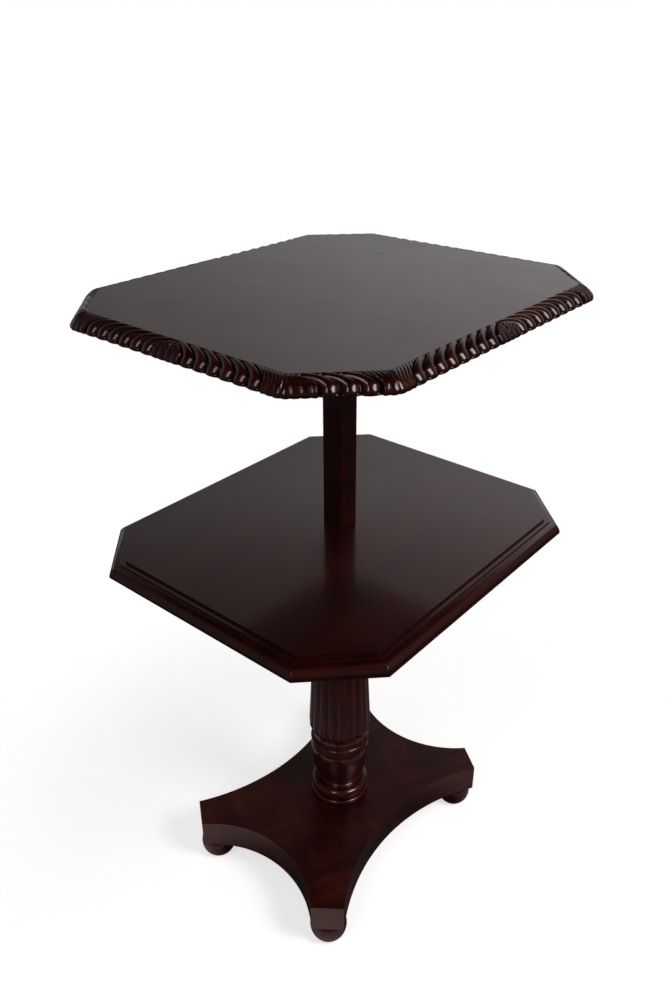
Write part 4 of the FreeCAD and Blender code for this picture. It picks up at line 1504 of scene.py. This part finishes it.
@dataclass(frozen=True)
class SoftBox:
    """Rectangular lamp that faces the column, with its sizes in metres and its power in watts."""

    name: str
    azimuth: float
    elevation: float
    size: Point2
    power: float
    distance: float = 3.0
    faced_height: float = 0.5
    colour: Colour = (1.0, 0.95, 0.93)

    def build(self) -> None:
        """Hang it."""
        lamp = bpy.data.lights.new(self.name, "AREA")
        lamp.shape = "RECTANGLE"
        lamp.size, lamp.size_y = self.size
        lamp.energy = self.power
        lamp.color = self.colour
        back = bearing(self.azimuth, self.elevation)
        holder = new_object(self.name, lamp)
        holder.location = Vector((0, 0, self.faced_height)) + back * self.distance
        holder.rotation_euler = back.to_track_quat("Z", "Y").to_euler()


@dataclass
class Backdrop:
    """Surroundings: white to the eye, soft to the object, and a pale draped cloth in its gloss.

    The glow's spans are degrees round the table, and the others are shares of the way up. Dimming
    holds where it starts, where it is full and how much it takes away.
    """

    glow_rise: Span = (60.0, 105.0)
    glow_fall: Span = (95.0, 165.0)
    band_rise: Span = (0.41, 0.465)
    band_fall: Span = (0.485, 0.53)
    dimming: tuple[Point3, ...] = ((0.50, 0.55, 0.30), (0.57, 0.68, 0.48), (0.72, 0.80, 0.17))
    paper_rise: Span = (0.88, 0.98)
    paper_fall: Span = (0.18, 0.28)
    cloth_level: float = 0.08
    glow_level: float = 0.44
    fold_level: float = 0.05
    band_level: float = 0.38
    folds: Pattern = Pattern((16.0, 1.2, 1.0))
    warm: Colour = (1.0, 0.985, 0.97)
    cool: Colour = (0.985, 0.975, 1.0)
    paper: Colour = (0.40, 0.40, 0.41)
    black: Colour = (0.0, 0.0, 0.0)
    white: Colour = (1.0, 1.0, 1.0)
    soft: Colour = (0.14, 0.14, 0.14)

    def build(self) -> None:
        """Build the world's shader."""
        world = bpy.data.worlds.new("studio")
        bpy.context.scene.world = world
        world.use_nodes = True
        g = Graph(world.node_tree)
        ray = g.add("ShaderNodeTexCoord", None, None, "Generated")
        parts = g.add("ShaderNodeSeparateXYZ", None, {0: ray})
        x, y, z = (parts.beside(i) for i in range(3))
        around = g.math("ARCTAN2", y, x)
        rise, fall = (tuple(math.radians(a) for a in span) for span in (self.glow_rise, self.glow_fall))
        glow = around.eased(*rise) * (1 - around.eased(*fall))
        band = z.eased(*self.band_rise) * (1 - z.eased(*self.band_fall))
        spot = g.add("ShaderNodeCombineXYZ", None, {"X": around, "Y": z})
        height = 1 + band * self.band_level
        for low, high, share in self.dimming:
            height = height - z.eased(low, high) * share
        folds = self.folds.on(g, spot)
        level = (self.cloth_level + glow * self.glow_level + folds * self.fold_level) * height
        cloth = g.mixed(level, self.black, g.mixed(glow, self.warm, self.cool))
        sheet = (x * -1.0).eased(*self.paper_rise) * (1 - z.eased(*self.paper_fall))
        path = g.add("ShaderNodeLightPath")
        eye = path.beside("Is Camera Ray").at_least(path.beside("Is Transmission Ray"))
        plain, gloss = g.mixed(eye, self.soft, self.white), g.mixed(sheet, cloth, self.paper)
        seen = g.mixed(path.beside("Is Glossy Ray"), plain, gloss)
        back = g.add("ShaderNodeBackground", None, {"Color": seen, "Strength": 1.0})
        g.add("ShaderNodeOutputWorld", None, {"Surface": back})


@dataclass
class PaleFloor:
    """White floor that keeps a faint shadow near the table, with its distances in metres."""

    radius: float = 9.0
    points: int = 96
    shadow_share: float = 0.34
    shadow_fade: Span = (0.30, 0.85)
    # Painted light on the floor that the object's gloss sees: a pool of light brighter towards one side, and
    # a brighter far floor on that side.
    painted_light_side: Point3 = (-0.643, -0.766, 0.0)
    pool_rise: Span = (0.22, 0.31)
    pool_fall: Span = (0.42, 0.62)
    pool_side: Span = (-0.6, 0.7)
    pool_least: float = 0.45
    outer_rise: Span = (1.9, 3.2)
    outer_side: Span = (0.0, 0.8)
    outer_share: float = 0.7
    bright: Colour = (0.92, 0.90, 0.90)
    dim: Colour = (0.07, 0.065, 0.065)
    shaded: Colour = (0.9, 0.9, 0.9)
    white: Colour = (1.0, 1.0, 1.0)

    def material(self) -> bpy.types.Material:
        """Build the shader: white to the eye, and in the object's gloss dim ground with a painted pool of
        light and painted shadow.

        Returns:
            The material.
        """
        paint, g, place = start_material("pale_floor")
        away = g.vector("LENGTH", place, output="Value")
        near = 1 - away.eased(*self.shadow_fade)
        side = g.vector("DOT_PRODUCT", place, self.painted_light_side, "Value") / away
        # Painted light and shade seen in gloss: a lit pool round the table with a painted shadow inside it,
        # brighter towards one side, and a brighter far floor on that side.
        painted_pool = away.eased(*self.pool_rise) * (1 - away.eased(*self.pool_fall))
        painted_pool = painted_pool * side.eased(*self.pool_side).between(self.pool_least, 1.0)
        painted_pool = painted_pool.at_least(away.eased(*self.outer_rise) * side.eased(*self.outer_side) * self.outer_share)
        colours = self.bright, self.dim, self.shaded
        bright, dim, shaded = (g.add("ShaderNodeBsdfDiffuse", None, {"Color": colour}) for colour in colours)
        white, base = (
            g.add("ShaderNodeEmission", None, {"Color": self.white, "Strength": strength})
            for strength in (1.0, 1 - self.shadow_share)
        )
        plain = g.add("ShaderNodeMixShader", None, {0: painted_pool, 1: dim, 2: bright})
        lit = g.add("ShaderNodeAddShader", None, {0: base, 1: shaded})
        shown = g.add("ShaderNodeMixShader", None, {0: near, 1: white, 2: lit})
        path = g.add("ShaderNodeLightPath")
        eye = path.beside("Is Camera Ray").at_least(path.beside("Is Transmission Ray"))
        surface = g.add("ShaderNodeMixShader", None, {0: eye, 1: plain, 2: shown})
        g.add("ShaderNodeOutputMaterial", None, {"Surface": surface})
        return paint

    def build(self) -> None:
        """Lay the floor."""
        turns = np.arange(self.points) * (FULL_TURN / self.points)
        radius = self.radius / MM
        rim = [(radius * math.cos(t), radius * math.sin(t), 0.0) for t in turns]
        mesh = raw_mesh("floor", rim, [tuple(range(self.points))])
        mesh.materials.append(self.material())
        ground = new_object("floor", mesh)


@dataclass
class Studio:
    """Everything round the table."""

    view: ViewPoint
    backdrop: Backdrop
    ground: PaleFloor
    lamps: tuple[SoftBox, ...] = (
        SoftBox("window_right", 96.0, 44.0, (1.0, 1.2), 36.0),
        SoftBox("window_left", 14.0, 46.0, (0.65, 1.1), 10.0),
    )

    def build(self) -> None:
        """Set it up."""
        for part in (self.view, self.backdrop, self.ground, *self.lamps):
            part.build()
        bpy.context.scene.view_settings.view_transform = "Standard"


def main() -> None:
    """Build the table from its upper tier down, then its surroundings."""
    logging.basicConfig(level=logging.INFO, format="%(message)s")
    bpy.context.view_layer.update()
    finishes = Finishes()
    UpperTier(CarvedEdge()).build(finishes)
    LowerTier().build(finishes)
    ReededColumn().build(finishes)
    Base().build(finishes)
    Studio(ViewPoint(), Backdrop(), PaleFloor()).build()


if __name__ == "__main__":
    main()
